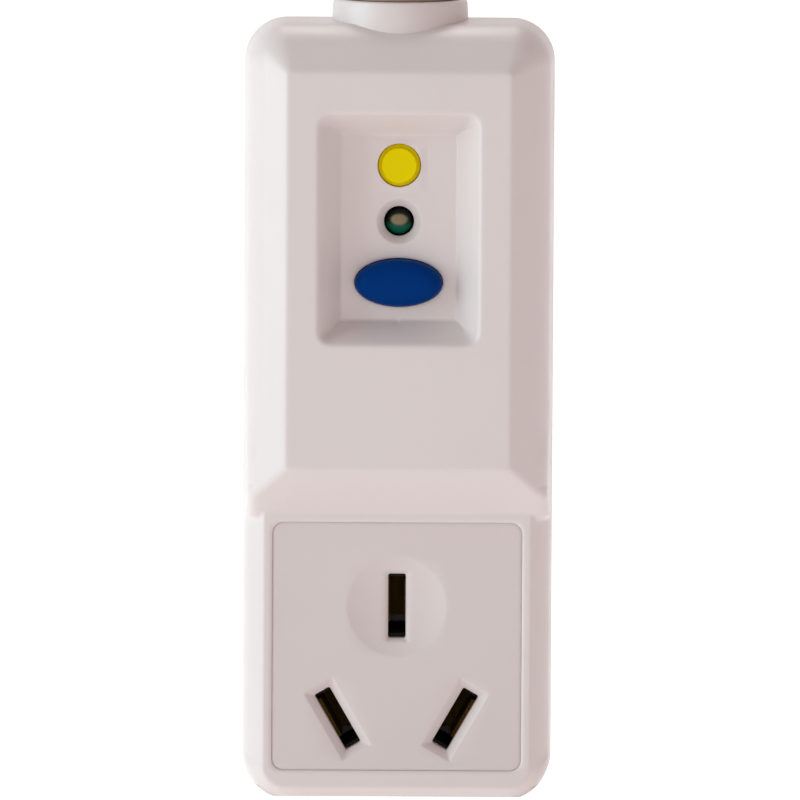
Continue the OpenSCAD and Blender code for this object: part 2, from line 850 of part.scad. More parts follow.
// Moulded block that backs the tabs and strips against the rear shell
backing_drop = 8.7;
module mechanism_base() {
    color(inner_white)
        block([-bus_x - strip_w, y_strip_back, z_reset - backing_drop],
            [bus_x + strip_w, y_rear_in, z_tab_top]);
}

// Circuit board, with an opening for the reset stem and holes for the lamp's legs
leg_x = 1.27;
leg_r = 0.3;
module circuit_board() {
    color(board_green)
        difference() {
            block([-board_hw, y_board, board_foot], [board_hw, y_board_back, board_top]);
            block([-stem_hole / 2, y_board - over, z_reset - stem_hole / 2],
                [stem_hole / 2, y_board_back + over, z_reset + stem_hole / 2]);
            for (s = board_spots)
                rod(s[0], s[1], board_screw_r + 0.2, y_board - over, y_board_back + over);
            for (x = [-leg_x, leg_x])
                rod(x, z_lamp, leg_r + 0.1, y_board - over, y_board_back + over);
        }
}

module board_screws() {
    color(steel)
        for (s = board_spots)
            pan_screw(s[0], s[1], board_screw_r - thread_gap, small_head_r, small_head_t, y_board,
                y_board_back + board_screw_l);
}

// Reset button: oval cap with a lip behind the panel floor and a square stem through the board
dome_steps = 5;
reset_edge = 1;
module reset_button() {
    y0 = y_floor - reset_proud;
    color(reset_blue) {
        hull()
            for (i = [0 : dome_steps])
                let (a = 90 * i / dome_steps)
                    slab(y0 + reset_edge * (1 - sin(a)), 0.05)
                        oval(reset_edge * (cos(a) - 1));
        slab(y0 + reset_edge, y_lip - y0 - reset_edge + 0.05)
            oval(0);
        slab(y_lip, lip_t)
            oval(button_lip);
        block([-stem_w / 2, y_lip_back - 0.05, z_reset - stem_w / 2],
            [stem_w / 2, y_carrier - 0.05, z_reset + stem_w / 2]);
    }
}

// Return spring of the reset button, between its lip and the board
reset_turns = 3;
module reset_spring() {
    l = y_board - y_lip_back;
    echo(reset_spring_gap = coil_gap(reset_coil_r, reset_wire, l, reset_turns));
    color(steel)
        translate([0, y_lip_back, z_reset])
            rotate([-90, 0, 0])
                coil(reset_coil_r, reset_wire, l, reset_turns);
}

// Contact carrier: plate behind the board, relieved for the latch, with a tongue whose notch takes its pin
module contact_carrier() {
    notch_y0 = sol_y - pin_r - latch_gap - reset_travel;
    notch_y1 = sol_y + pin_r + latch_gap;
    color(inner_white)
        difference() {
            union() {
                block([-carrier_hw, y_carrier, z_reset - carrier_down],
                    [carrier_hw, y_bridge, z_reset + carrier_up]);
                block([-stem_w / 2, y_bridge - 0.05, stem_foot],
                    [stem_w / 2, notch_y1 + tongue_end, z_reset + stem_w / 2]);
            }
            block([-stem_w, notch_y0, stem_foot - over], [stem_w, notch_y1, stem_foot + notch_d]);
            block([-latch_r - latch_gap, y_carrier - over, z_reset - carrier_down - over],
                [latch_r + latch_gap, y_bridge + over, stem_foot]);
        }
}

// Two bridging contacts on the carrier, each closing a tab on to its load strip
module moving_contacts() {
    color(silver)
        for (x = [-bus_x, bus_x])
            block([x - rivet_r, y_bridge, z_reset + load_rivet - rivet_r],
                [x + rivet_r, y_bridge_back, z_reset + line_rivet + rivet_r]);
}

// Test button: round cap with a lip behind the panel floor and a thin stem
y_test_tip = y_board - dome_t - 0.1 - test_travel;
module test_button() {
    cap_r = test_dia / 2;
    bevel = 0.4;
    y0 = y_floor - test_proud;
    color(test_yellow) {
        translate([0, y0, z_test])
            rotate([-90, 0, 0])
                cylinder(r1 = cap_r - bevel, r2 = cap_r, h = bevel);
        rod(0, z_test, cap_r, y0 + bevel, y_lip + 0.05);
        rod(0, z_test, cap_r + button_lip, y_lip, y_lip_back);
        rod(0, z_test, test_stem_r, y_lip_back - 0.05, y_test_tip);
    }
}

test_turns = 4;
module test_spring() {
    l = y_board - y_lip_back;
    echo(test_spring_gap = coil_gap(test_coil_r, test_wire, l, test_turns));
    color(steel)
        translate([0, y_lip_back, z_test])
            rotate([-90, 0, 0])
                coil(test_coil_r, test_wire, l, test_turns);
}

// Contact dome on the board that the test stem presses
module test_contact() {
    color(silver)
        rod(0, z_test, test_coil_r - test_wire / 2 - 0.35, y_board - dome_t, y_board);
}

// Green lamp on the board, its round end just inside the hole in the panel floor
led_r = 2;
led_l = 5.3;
led_sink = 0.8;
module indicator_led() {
    y_tip = y_floor + led_sink;
    color(lamp_green) {
        translate([0, y_tip + led_r, z_lamp])
            sphere(r = led_r);
        rod(0, z_lamp, led_r, y_tip + led_r, y_tip + led_l);
        for (x = [-leg_x, leg_x])
            rod(x, z_lamp, leg_r, y_tip + led_l - 0.05, y_board_back);
    }
}

// Black sleeve that holds the lamp off the board
module led_spacer() {
    color(black_nylon)
        difference() {
            rod(0, z_lamp, lamp_hole / 2 + 0.5, y_floor_in + seat_gap, y_board);
            rod(0, z_lamp, led_r + 0.1, y_floor, y_board + over);
        }
}

// Steel frame of the trip solenoid: a web on the board and an arm at each end of the coil
module solenoid_frame() {
    color(steel)
        difference() {
            union() {
                block([-coil_r, y_board_back, z_frame], [coil_r, y_board_back + frame_t, z_frame_top]);
                for (z = [z_frame, z_frame_top - frame_t])
                    block([-coil_r, y_board_back, z], [coil_r, sol_y + arm_reach, z + frame_t]);
            }
            translate([0, sol_y, z_frame_top - frame_t - over])
                cylinder(r = bore_r + 0.2, h = frame_t + 2 * over);
        }
}

// Nylon spool between the arms
z_coil = z_frame + frame_t;
z_coil_top = z_frame_top - frame_t;
module coil_bobbin() {
    color(black_nylon)
        translate([0, sol_y, 0])
            difference() {
                union() {
                    for (z = [z_coil, z_coil_top - bobbin_t])
                        translate([0, 0, z])
                            cylinder(r = coil_r, h = bobbin_t);
                    translate([0, 0, z_coil])
                        cylinder(r = tube_r, h = z_coil_top - z_coil);
                }
                translate([0, 0, z_coil - over])
                    cylinder(r = bore_r, h = z_coil_top - z_coil + 2 * over);
            }
}

// Enamelled copper winding between the spool's flanges
module coil_winding() {
    color(copper)
        translate([0, sol_y, z_coil + bobbin_t + 0.05])
            difference() {
                cylinder(r = coil_r - 0.4, h = z_coil_top - z_coil - 2 * bobbin_t - 0.1);
                translate([0, 0, -over])
                    cylinder(r = tube_r + 0.05, h = z_coil_top - z_coil);
            }
}

// Steel plunger in the spool, pulled down by the coil
module trip_plunger() {
    z0 = z_coil + trip_travel + 0.3;
    color(steel)
        translate([0, sol_y, z0])
            cylinder(r = plunger_r, h = z_latch - z0);
}

// Latch pin on the plunger: a spring collar, and a pin that rests in the carrier's notch
module latch_pin() {
    color(steel)
        translate([0, sol_y, z_latch]) {
            cylinder(r = latch_r, h = latch_t);
            cylinder(r = pin_r, h = z_pin_top - z_latch);
        }
}

trip_turns = 3;
module plunger_spring() {
    l = z_latch - z_frame_top;
    echo(plunger_spring_gap = coil_gap(trip_coil_r, trip_wire, l, trip_turns));
    color(steel)
        translate([0, sol_y, z_frame_top])
            coil(trip_coil_r, trip_wire, l, trip_turns);
}

// Case of the current sensor: a ring tray, open below, on a foot against the board
module sensor_case() {
    color(black_nylon)
        difference() {
            union() {
                translate([0, sensor_y, z_sensor])
                    cylinder(r = sensor_r, h = sensor_h);
                block([-sensor_r / 2, y_board_back, z_sensor],
                    [sensor_r / 2, sensor_y - core_hole, z_sensor + sensor_h]);
            }
            translate([0, sensor_y, z_sensor - over])
                cylinder(r = sensor_hole, h = sensor_h + 2 * over);
            translate([0, sensor_y, z_sensor - over])
                difference() {
                    cylinder(r = sensor_r - case_skin, h = sensor_h - case_skin + over);
                    translate([0, 0, -over])
                        cylinder(r = core_hole, h = sensor_h + 3 * over);
                }
        }
}

// Wound ring core inside the tray
module sensor_core() {
    color(copper)
        translate([0, sensor_y, z_sensor + 0.1])
            difference() {
                cylinder(r = sensor_r - case_skin - 0.1, h = sensor_h - case_skin - 0.2);
                translate([0, 0, -over])
                    cylinder(r = core_hole + 0.1, h = sensor_h + over);
            }
}

// Terminal block on the back of the board, with three pockets open to the back
module terminal_block() {
    color(inner_white)
        difference() {
            block([-block_hw, y_board_back, z_block],
                [block_hw, y_board_back + block_d, z_block + block_h]);
            for (x = terminal_x) {
                block([x - barrel_w / 2 - seat_gap, y_barrel - seat_gap, z_barrel - seat_gap],
                    [x + barrel_w / 2 + seat_gap, y_board_back + block_d + over,
                        z_barrel + barrel_h + seat_gap]);
                translate([x, y_entry, z_block - over])
                    cylinder(r = entry_r, h = block_h + 2 * over);
            }
        }
}

// Brass barrels: the conductor enters along the height, the screw from the back
module terminal_barrels() {
    color(brass)
        for (x = terminal_x)
            difference() {
                block([x - barrel_w / 2, y_barrel, z_barrel],
                    [x + barrel_w / 2, y_barrel + barrel_w, z_barrel + barrel_h]);
                translate([x, y_entry, z_block - over])
                    cylinder(r = entry_r, h = block_h + 2 * over);
                rod(x, z_block + block_h / 2, terminal_screw_r, y_entry, y_barrel + barrel_w + over);
            }
}

module terminal_screws() {
    y0 = y_entry + wire_r + 0.1;
    y1 = y_barrel + barrel_w + 1.2;
    color(steel)
        for (x = terminal_x)
            difference() {
                rod(x, z_block + block_h / 2, terminal_screw_r - 0.02, y0, y1);
                block([x - terminal_screw_r, y1 - 0.7, z_block + block_h / 2 - 0.25],
                    [x + terminal_screw_r, y1 + over, z_block + block_h / 2 + 0.25]);
            }
}

// Inner wires: live and neutral pass through the sensor ring, earth runs past it
z_start = z_block + block_h / 2 + 1.5;
z_bend = z_block - 1;
y_weld = y_strip - wire_r - 0.05;
module sensed_wire(x_terminal, x_ring, x_end) {
    z_under = z_sensor - wire_r - 0.2;
    wire_path([
        [x_terminal, y_entry, z_start],
        [x_terminal, y_entry, z_bend],
        [x_ring, sensor_y, z_sensor + sensor_h + 1],
        [x_ring, sensor_y, z_under],
        [x_end, y_weld, z_under],
        [x_end, y_weld, z_under - 1]]);
}

ring_x = 1.2;
module live_wire() {
    color("#7a3a22")
        sensed_wire(terminal_x[0], -ring_x, -bus_x);
}

module neutral_wire() {
    color("#2c5fa8")
        sensed_wire(terminal_x[1], ring_x, bus_x);
}

earth_stand = 4;
earth_drop = 4;
earth_weld = 3;
module earth_wire() {
    y_earth_weld = y_base_back - wire_r - 0.05;
    x_out = carrier_hw + wire_r + 0.6;
    x_low = screw_x - column_r - wire_r - 0.4;
    y_low = y_board_back + earth_stand;
    z_turn = z_reset - carrier_down - seat_gap;
    color("#8fae2e")
        wire_path([
            [terminal_x[2], y_entry, z_start],
            [terminal_x[2], y_entry, z_bend],
            [x_out, sensor_y, z_sensor + sensor_h / 2],
            [x_out, sensor_y, z_turn],
            [x_low, y_low, z_turn - (x_out - x_low) - 1],
            [x_low, y_low, base_top + earth_drop],
            [0, y_earth_weld, base_top + earth_weld],
            [0, y_earth_weld, base_top + earth_weld - 2]]);
}

// Parts on the front of the board: the control chip at its foot, between the lower screws
part_gap = 0.1;
part_room = 0.3;
part_side = 3.6;
part_lift = 0.4;
y_parts = y_board - part_gap;
z_low_parts = board_foot + part_lift;
z_parts = board_post_low + small_head_r + part_room;
chip_w = 9.4;
chip_h = 6.3;
chip_t = 3.3;
module control_chip() {
    color(black_nylon)
        block([-chip_w / 2, y_parts - chip_t, z_low_parts], [chip_w / 2, y_parts, z_low_parts + chip_h]);
}

// Round-backed thyristor right of the chip, flat side up
thyristor_r = 2;
thyristor_l = 4.6;
thyristor_flat = 1.3;
module thyristor() {
    x = chip_w / 2 + part_room + thyristor_r;
    z = z_low_parts + thyristor_r;
    color(black_nylon)
        difference() {
            rod(x, z, thyristor_r, y_parts - thyristor_l, y_parts);
            block([x - thyristor_r, y_parts - thyristor_l - over, z + thyristor_flat],
                [x + thyristor_r, y_parts + over, z + thyristor_r + over]);
        }
}

// Two resistors, upright left of the chip
resistor_r = 1;
resistor_l = 4.6;
resistor_pitch = 2.1;
module resistors() {
    color("#6fa3b8")
        for (i = [0, 1])
            translate([-chip_w / 2 - part_room - resistor_r - resistor_pitch * i, y_parts - resistor_r,
                z_low_parts])
                cylinder(r = resistor_r, h = resistor_l);
}

// Surge disc, flat on the board above the left screw
disc_r = 3.5;
disc_t = 2.6;
module varistor() {
    color("#2a5aa8")
        rod(part_side + disc_r - board_hw, z_parts + disc_r, disc_r, y_parts - disc_t, y_parts);
}

// Film capacitor above the right screw
cap_w = 4.8;
cap_h = 9.6;
cap_d = 5.8;
cap_x = board_hw - part_side - cap_w;
module film_capacitor() {
    color("#b9a233")
        block([cap_x, y_parts - cap_d, z_parts], [cap_x + cap_w, y_parts, z_parts + cap_h]);
}

// Four rectifier diodes in a column along the board's right edge
diode_r = 0.9;
diode_l = 4;
diode_gap = 0.7;
diode_side = 1.6;
module rectifier_diodes() {
    color(black_nylon)
        for (i = [0 : 3])
            translate([board_hw - diode_side, y_parts - diode_r, z_parts + (diode_l + diode_gap) * i])
                cylinder(r = diode_r, h = diode_l);
}

front_cover();
rear_cover();
housing_screws();
socket_plate();
gland_bush();
cord_clamp();
clamp_screws();
contact_base();
earth_contact();
live_contact();
neutral_contact();
live_busbar();
neutral_busbar();
line_tabs();
fixed_contacts();
mechanism_base();
circuit_board();
board_screws();
reset_button();
reset_spring();
contact_carrier();
moving_contacts();
test_button();
test_spring();
test_contact();
indicator_led();
led_spacer();
solenoid_frame();
coil_bobbin();
coil_winding();
trip_plunger();
latch_pin();
plunger_spring();
sensor_case();
sensor_core();
terminal_block();
terminal_barrels();
terminal_screws();
live_wire();
neutral_wire();
earth_wire();
control_chip();
thyristor();
varistor();
film_capacitor();
resistors();
rectifier_diodes();
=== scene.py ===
import bmesh
import bpy
import numpy as np
from mathutils import Matrix, Vector


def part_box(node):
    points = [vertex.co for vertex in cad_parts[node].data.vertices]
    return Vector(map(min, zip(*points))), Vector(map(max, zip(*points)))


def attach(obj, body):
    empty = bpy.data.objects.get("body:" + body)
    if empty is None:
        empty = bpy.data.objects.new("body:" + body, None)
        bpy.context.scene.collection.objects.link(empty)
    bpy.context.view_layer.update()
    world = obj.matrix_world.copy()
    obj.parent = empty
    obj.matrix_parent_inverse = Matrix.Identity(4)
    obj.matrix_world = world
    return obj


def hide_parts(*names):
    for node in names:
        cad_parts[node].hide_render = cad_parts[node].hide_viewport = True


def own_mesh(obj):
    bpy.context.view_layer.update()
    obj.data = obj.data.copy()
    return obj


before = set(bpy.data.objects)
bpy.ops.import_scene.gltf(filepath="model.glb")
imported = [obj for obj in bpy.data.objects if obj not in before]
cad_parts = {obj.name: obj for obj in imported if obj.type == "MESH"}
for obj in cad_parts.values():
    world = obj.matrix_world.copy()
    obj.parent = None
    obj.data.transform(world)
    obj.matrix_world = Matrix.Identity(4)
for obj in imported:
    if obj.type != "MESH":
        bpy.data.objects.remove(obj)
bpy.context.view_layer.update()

# Rear half of the case: a deep tray moulded in warm white ABS, with drafted walls, a rounded back edge and
# four screw wells that go through to the parting plane, where the front half closes it. All sizes are in mm.
CORE, CROWN = 15.7, 103.0  # half-width and height of the corner arcs' centres
CORNER, WALL = 6.0, 2.0
PARTING, BACK = -2.0, 16.0
FOOT = -0.3  # the outline would end here, and the lower end is cut flat at 0
REAR_DRAFT, BACK_EDGE, SEAM = np.tan(np.radians(6.0)), 2.0, 0.15
BUSH_HOLE = 7.2
COLLAR_OUTER = np.array([(9.72, 104.4), (9.62, 107.0), (9.52, 109.2), (9.42, 111.0), (9.3, 111.42),
                         (9.05, 111.6)])  # radius and height, from the case up
COLLAR_INNER = np.array([(8.45, 104.4), (8.45, 106.4), (BUSH_HOLE, 107.0), (BUSH_HOLE, 111.1), (7.27, 111.42),
                         (7.45, 111.6)])
WELL_X, WELL_LOW, WELL_HIGH, WELL_SQUARE = 13.6, 43.4, 100.5, 4.0
WELL_R, WELL_FLOOR, SHAFT_R, SHAFT_END, COLUMN_R = 2.9, 9.0, 1.7, PARTING + 0.05, 3.9
WELL_EDGE = ((0.3, 0), (0.12, 0.04), (0.03, 0.13), (0, 0.3))  # rows of a soft edge: outside the hole, below
LIFT_FADE = 15.0


def smooth(low, high, t):
    """0 below low, 1 above high, and the cubic 3s^2 - 2s^3 between."""
    s = np.clip((t - low) / (high - low), 0, 1)
    return s * s * (3 - 2 * s)


def ruled(stops, fine, coarse, grow):
    """Lines through every stop, `fine` apart there and wider by `grow` per mm away from it, up to `coarse`.
    Between two stops the running sum of 1 / spacing is cut into equal steps."""
    lines = [np.array(stops[:1])]
    for low, high in zip(stops[:-1], stops[1:]):
        t = np.linspace(low, high, 200)
        gap = np.minimum(coarse, fine + grow * np.minimum(t - low, high - t))
        count = np.concatenate([[0], np.cumsum(np.diff(t) * 2 / (gap[1:] + gap[:-1]))])
        steps = max(1, int(np.ceil(count[-1])))
        lines.append(np.interp(np.linspace(0, count[-1], steps + 1)[1:], count, t))
    return np.concatenate(lines)


def plan(x, z, core, foot, crown, radius):
    """Grid of an outline with round corners: core point, share of a lift at the foot, which fades out over
    LIFT_FADE, and outward direction. In a corner square (u, v) becomes (u sqrt(1 - v^2/2),
    v sqrt(1 - u^2/2)), which is a quarter disc."""
    x, z = np.meshgrid(x, z, indexing="ij")
    u = np.sign(x) * np.clip((np.abs(x) - core) / radius, 0, 1)
    v = np.clip((z - crown) / radius, 0, 1) - np.clip((foot - z) / radius, 0, 1)
    z = np.clip(z, foot, crown)
    share = 1 - smooth(foot, foot + LIFT_FADE, z)
    out_x, out_z = u * np.sqrt(1 - v * v / 2), v * np.sqrt(1 - u * u / 2)
    return np.stack([np.clip(x, -core, core), z, share, out_x, out_z], -1)


def spread(grid, radius, y, lift=0.0):
    """Each core point plus radius times its outward direction, at depth y, with the foot raised by lift."""
    core_x, core_z, share, out_x, out_z = np.moveaxis(grid, -1, 0)
    x, z = core_x + radius * out_x, core_z + lift * share + radius * out_z
    return np.stack(np.broadcast_arrays(x, y, z), -1)


def case_ring(grid, base, inset, y, low):
    """The case's outline, drawn in by inset, at depth y, with its lower end at low and nothing below 0.
    base is the corner radius that the grid was ruled for."""
    radius = CORNER - inset
    points = spread(grid, radius, y, low + radius - (FOOT + base))
    points[..., 2] = np.maximum(points[..., 2], 0)
    return points


def edge_loop(grid):
    """The points along the four edges of a grid, once round and back to the first."""
    return np.concatenate([grid[:-1, 0], grid[-1, :-1], grid[:0:-1, -1], grid[0, :0:-1], grid[:1, 0]])


def square(x, z, box):
    """The index ranges of the lines x and z that enclose the box (x0, z0, x1, z1)."""
    i0, i1 = (int(np.argmin(np.abs(x - t))) for t in (box[0], box[2]))
    j0, j1 = (int(np.argmin(np.abs(z - t))) for t in (box[1], box[3]))
    return slice(i0, i1 + 1), slice(j0, j1 + 1)


def cells_without(grid, squares):
    """True for each cell of the grid that lies in none of the squares."""
    keep = np.ones((grid.shape[0] - 1, grid.shape[1] - 1), bool)
    for i, j in squares:
        keep[i.start:i.stop - 1, j.start:j.stop - 1] = False
    return keep


def oval(centre, half):
    """A map from a point to the oval round centre, grown by g, in the same direction: the point's offset over
    the half-axes, made one long, times the grown half-axes."""
    def onto(points, g):
        w = (points - centre) / half
        return centre + w / np.linalg.norm(w, axis=-1, keepdims=True) * (np.array(half) + g)
    return onto


def at_depth(flat, y):
    """Plan points (x, z) at depth y, which may differ from point to point."""
    return np.stack([flat[:, 0], np.broadcast_to(y, len(flat)), flat[:, 1]], -1)


def skirt(start, first, share, level):
    """Rows from the loop `start` to the plan points `first` at depth level, at these shares of the way."""
    return [start + (at_depth(first, level) - start) * s for s in share]


def half_collar(side):
    """Half of the gland's collar: a closed section of outer and inner points, turned half a circle about the
    gland's axis on the front (-1) or rear (1) side, with a flat end at the parting plane."""
    turn = np.linspace(0, np.pi, 73)
    section = np.concatenate([COLLAR_OUTER, COLLAR_INNER[::-1], COLLAR_OUTER[:1]])
    wall = np.stack([section[:, :1] * np.cos(turn), PARTING + side * section[:, :1] * np.sin(turn),
                     np.broadcast_to(section[:, 1:], (len(section), len(turn)))], -1)
    ends = [np.stack([np.stack([way * half[:, 0], np.full(len(half), PARTING), half[:, 1]], -1)
                      for half in (COLLAR_OUTER, COLLAR_INNER)]) for way in (1, -1)]
    return [wall, *ends]


def linear(colour):
    """An sRGB hex colour as linear RGBA."""
    c = np.array([int(colour[k:k + 2], 16) for k in (1, 3, 5)]) / 255
    return (*np.where(c <= 0.04045, c / 12.92, ((c + 0.055) / 1.055) ** 2.4), 1.0)


def add(tree, kind, inputs, **settings):
    """Adds a node with these settings, and gives each input a value or a link from an output."""
    node = tree.nodes.new(kind)
    for name, value in settings.items():
        setattr(node, name, value)
    for key, value in inputs.items():
        if isinstance(value, bpy.types.NodeSocket):
            tree.links.new(value, node.inputs[key])
        else:
            node.inputs[key].default_value = value
    return node


def blank(name):
    """A new material, with its node tree and its shader."""
    material = bpy.data.materials.new(name)
    material.use_nodes = True
    return material, material.node_tree, material.node_tree.nodes["Principled BSDF"]


def moulded(name, pale, deep, roughness, grain, relief, sheen=0.5):
    """Moulded plastic: two close tones drift over some 20 mm, as flow marks do, and a spark-eroded grain
    (size and depth in mm) makes a fine bump. The gloss is uneven, with rubbed patches some 7 mm across."""
    material, tree, shader = blank(name)
    shader.inputs["IOR"].default_value = 1.53
    shader.inputs["Specular IOR Level"].default_value = sheen
    place = add(tree, "ShaderNodeTexCoord", {}).outputs["Object"]
    flow = add(tree, "ShaderNodeTexNoise", {"Vector": place, "Scale": 1000 / 20, "Detail": 4.0})
    tone = add(tree, "ShaderNodeMix", {0: flow.outputs["Fac"], 6: linear(pale), 7: linear(deep)},
               data_type="RGBA")
    pits = add(tree, "ShaderNodeTexNoise", {"Vector": place, "Scale": 1000 / grain, "Detail": 2.0})
    rub = add(tree, "ShaderNodeTexNoise", {"Vector": place, "Scale": 1000 / 7, "Detail": 5.0})
    gloss = add(tree, "ShaderNodeMapRange", {"Value": rub.outputs["Fac"], "From Min": 0.3, "From Max": 0.7,
                                             "To Min": roughness - 0.05, "To Max": roughness + 0.06})
    bump = add(tree, "ShaderNodeBump", {"Height": pits.outputs["Fac"], "Distance": relief / 1000,
                                        "Strength": 1.0})
    tree.links.new(tone.outputs[2], shader.inputs["Base Color"])
    tree.links.new(gloss.outputs["Result"], shader.inputs["Roughness"])
    tree.links.new(bump.outputs["Normal"], shader.inputs["Normal"])
    return material


def put(name, blocks, material, body, node, crease=32.0):
    """One closed piece from grids of points in mm, each cell a face: doubles merged, normals outward, smooth
    apart from creases. A grid may come with the cells to keep. The piece stands for a node, on a body."""
    points, faces, first = [], [], 0
    for block in blocks:
        grid, keep = block if isinstance(block, tuple) else (block, None)
        index = first + np.arange(grid.shape[0] * grid.shape[1]).reshape(grid.shape[:2])
        cell = np.stack([index[:-1, :-1], index[1:, :-1], index[1:, 1:], index[:-1, 1:]], -1)
        faces.append(cell.reshape(-1, 4) if keep is None else cell[keep])
        points.append(grid.reshape(-1, 3))
        first += index.size
    mesh = bpy.data.meshes.new(name)
    mesh.from_pydata(np.concatenate(points) / 1000, [], np.concatenate(faces).tolist())
    work = bmesh.new()
    work.from_mesh(mesh)
    bmesh.ops.remove_doubles(work, verts=work.verts, dist=3e-6)
    bmesh.ops.recalc_face_normals(work, faces=work.faces)
    work.to_mesh(mesh)
    work.free()
    mesh.shade_smooth()
    mesh.set_sharp_from_angle(angle=np.radians(crease))
    mesh.materials.append(material)
    piece = bpy.data.objects.new(name, mesh)
    bpy.context.scene.collection.objects.link(piece)
    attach(piece, body)
    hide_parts(node)
    return piece


# Satin warm white ABS, as it leaves a spark-eroded mould: soft broad highlights, no clear reflections.
case_abs = moulded("moulded ABS, warm white", "#e2d6d4", "#dcd0ce", 0.35, 0.35, 0.012, 0.32)

rear_wall_in = (BACK - BACK_EDGE - PARTING) * REAR_DRAFT
back_radius = CORNER - rear_wall_in - BACK_EDGE
back_half, back_top = CORE + back_radius, CROWN + back_radius
half_x = [WELL_X - WELL_SQUARE, CORE, WELL_X + WELL_SQUARE, back_half]
rear_x = ruled([-t for t in half_x[::-1]] + [0] + half_x, 0.22, 2.5, 0.2)
rear_z = ruled([FOOT, 0.3, FOOT + back_radius, WELL_LOW - WELL_SQUARE, WELL_LOW + WELL_SQUARE,
                WELL_HIGH - WELL_SQUARE, CROWN, WELL_HIGH + WELL_SQUARE, back_top], 0.22, 2.5, 0.2)
rear_plan = plan(rear_x, rear_z, CORE, FOOT + back_radius, CROWN, back_radius)
rear_face = case_ring(rear_plan, back_radius, rear_wall_in + BACK_EDGE, BACK, FOOT)
rear_floor = case_ring(rear_plan, back_radius, rear_wall_in + WALL, BACK - WALL, WALL)
rear_loop = edge_loop(rear_plan)
rear_hole = np.where(rear_loop[:, 4] > 0.99, np.sqrt(np.maximum(BUSH_HOLE**2 - rear_loop[:, 0] ** 2, 0)), 0)
rear_rows = [edge_loop(rear_face)]
for angle in np.radians([72, 54, 36, 18, 0]):
    rear_rows.append(case_ring(rear_loop, back_radius, rear_wall_in + BACK_EDGE * (1 - np.cos(angle)),
                               BACK - BACK_EDGE * (1 - np.sin(angle)), FOOT))
for way in (0.3, 0.65, 1.0):
    depth = BACK - BACK_EDGE + (PARTING + rear_hole + SEAM - BACK + BACK_EDGE) * way
    rear_rows.append(case_ring(rear_loop, back_radius, (depth - PARTING) * REAR_DRAFT, depth, FOOT))
depth = PARTING + rear_hole
rear_rows.append(case_ring(rear_loop, back_radius, rear_hole * REAR_DRAFT + SEAM, depth, FOOT + SEAM))
rear_rows.append(case_ring(rear_loop, back_radius, rear_hole * REAR_DRAFT + WALL, depth, WALL))
rear_rows.append(edge_loop(rear_floor))

rear_wells, well_squares = [], []
for x, z in ((-WELL_X, WELL_LOW), (WELL_X, WELL_LOW), (-WELL_X, WELL_HIGH), (WELL_X, WELL_HIGH)):
    box = (x - WELL_SQUARE, z - WELL_SQUARE, x + WELL_SQUARE, z + WELL_SQUARE)
    well_squares.append(square(rear_x, rear_z, box))
    start, finish = edge_loop(rear_face[well_squares[-1]]), edge_loop(rear_floor[well_squares[-1]])
    rim = oval((x, z), (WELL_R, WELL_R))
    flat = start[:, [0, 2]]
    rows = skirt(start, rim(flat, WELL_EDGE[0][0]), (0, 0.5, 1), BACK)
    rows += [at_depth(rim(flat, grow), BACK - fall) for grow, fall in WELL_EDGE[1:]]
    rows += [at_depth(rim(flat, radius - WELL_R), y) for radius, y in
             ((WELL_R, WELL_FLOOR), (SHAFT_R, WELL_FLOOR), (SHAFT_R, SHAFT_END), (COLUMN_R, SHAFT_END),
              (COLUMN_R, BACK - WALL))]
    rear_wells.append(np.stack(rows + [finish]))
put("shell_rear", [(rear_face, cells_without(rear_face, well_squares)), np.stack(rear_rows),
                   (rear_floor, cells_without(rear_floor, well_squares)), *rear_wells, *half_collar(1)],
    case_abs, "housing", "rear_cover")

# Outlet contacts: spring jaws folded from brass strip, held in a block moulded in black nylon that drops
# into the lower end of the rear half.


def dress(material, *nodes):
    """Gives each of these CAD nodes this material."""
    for node in nodes:
        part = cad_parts[node]
        if not part.material_slots:
            part.data.materials.append(material)
        for place in part.material_slots:
            place.material = material


def rolled(name, bright, dull, roughness, grit):
    """Rolled or drawn metal: fine lines along the strip (grit in mm apart) in gloss and bump, and a soft
    cloud of tarnish between two tones, some 4 mm across."""
    material, tree, shader = blank(name)
    shader.inputs["Metallic"].default_value = 1.0
    place = add(tree, "ShaderNodeTexCoord", {}).outputs["Object"]
    cloud = add(tree, "ShaderNodeTexNoise", {"Vector": place, "Scale": 1000 / 4, "Detail": 5.0})
    tone = add(tree, "ShaderNodeMix", {0: cloud.outputs["Fac"], 6: linear(bright), 7: linear(dull)},
               data_type="RGBA")
    along = add(tree, "ShaderNodeMapping", {"Vector": place, "Scale": (1.0, 1.0, 0.06)})
    lines = add(tree, "ShaderNodeTexNoise", {"Vector": along.outputs["Vector"], "Scale": 1000 / grit,
                                             "Detail": 2.0})
    gloss = add(tree, "ShaderNodeMapRange", {"Value": lines.outputs["Fac"], "To Min": roughness - 0.1,
                                             "To Max": roughness + 0.15})
    bump = add(tree, "ShaderNodeBump", {"Height": lines.outputs["Fac"], "Distance": 4e-6, "Strength": 1.0})
    tree.links.new(tone.outputs[2], shader.inputs["Base Color"])
    tree.links.new(gloss.outputs["Result"], shader.inputs["Roughness"])
    tree.links.new(bump.outputs["Normal"], shader.inputs["Normal"])
    return material


# Glass-filled nylon is a dull charcoal black. Tumbled brass is matt and yellow and dulls to brown in clouds.
# Both its tones are also set darker, as painted shade for the contacts in the slots.
black_nylon = moulded("glass-filled nylon, black", "#141415", "#0e0e0f", 0.6, 0.5, 0.015, 0.15)
brass = rolled("tumbled brass strip, painted shade", "#a9853f", "#735829", 0.75, 0.15)
dress(black_nylon, "contact_base")
dress(brass, "earth_contact", "live_contact", "neutral_contact")

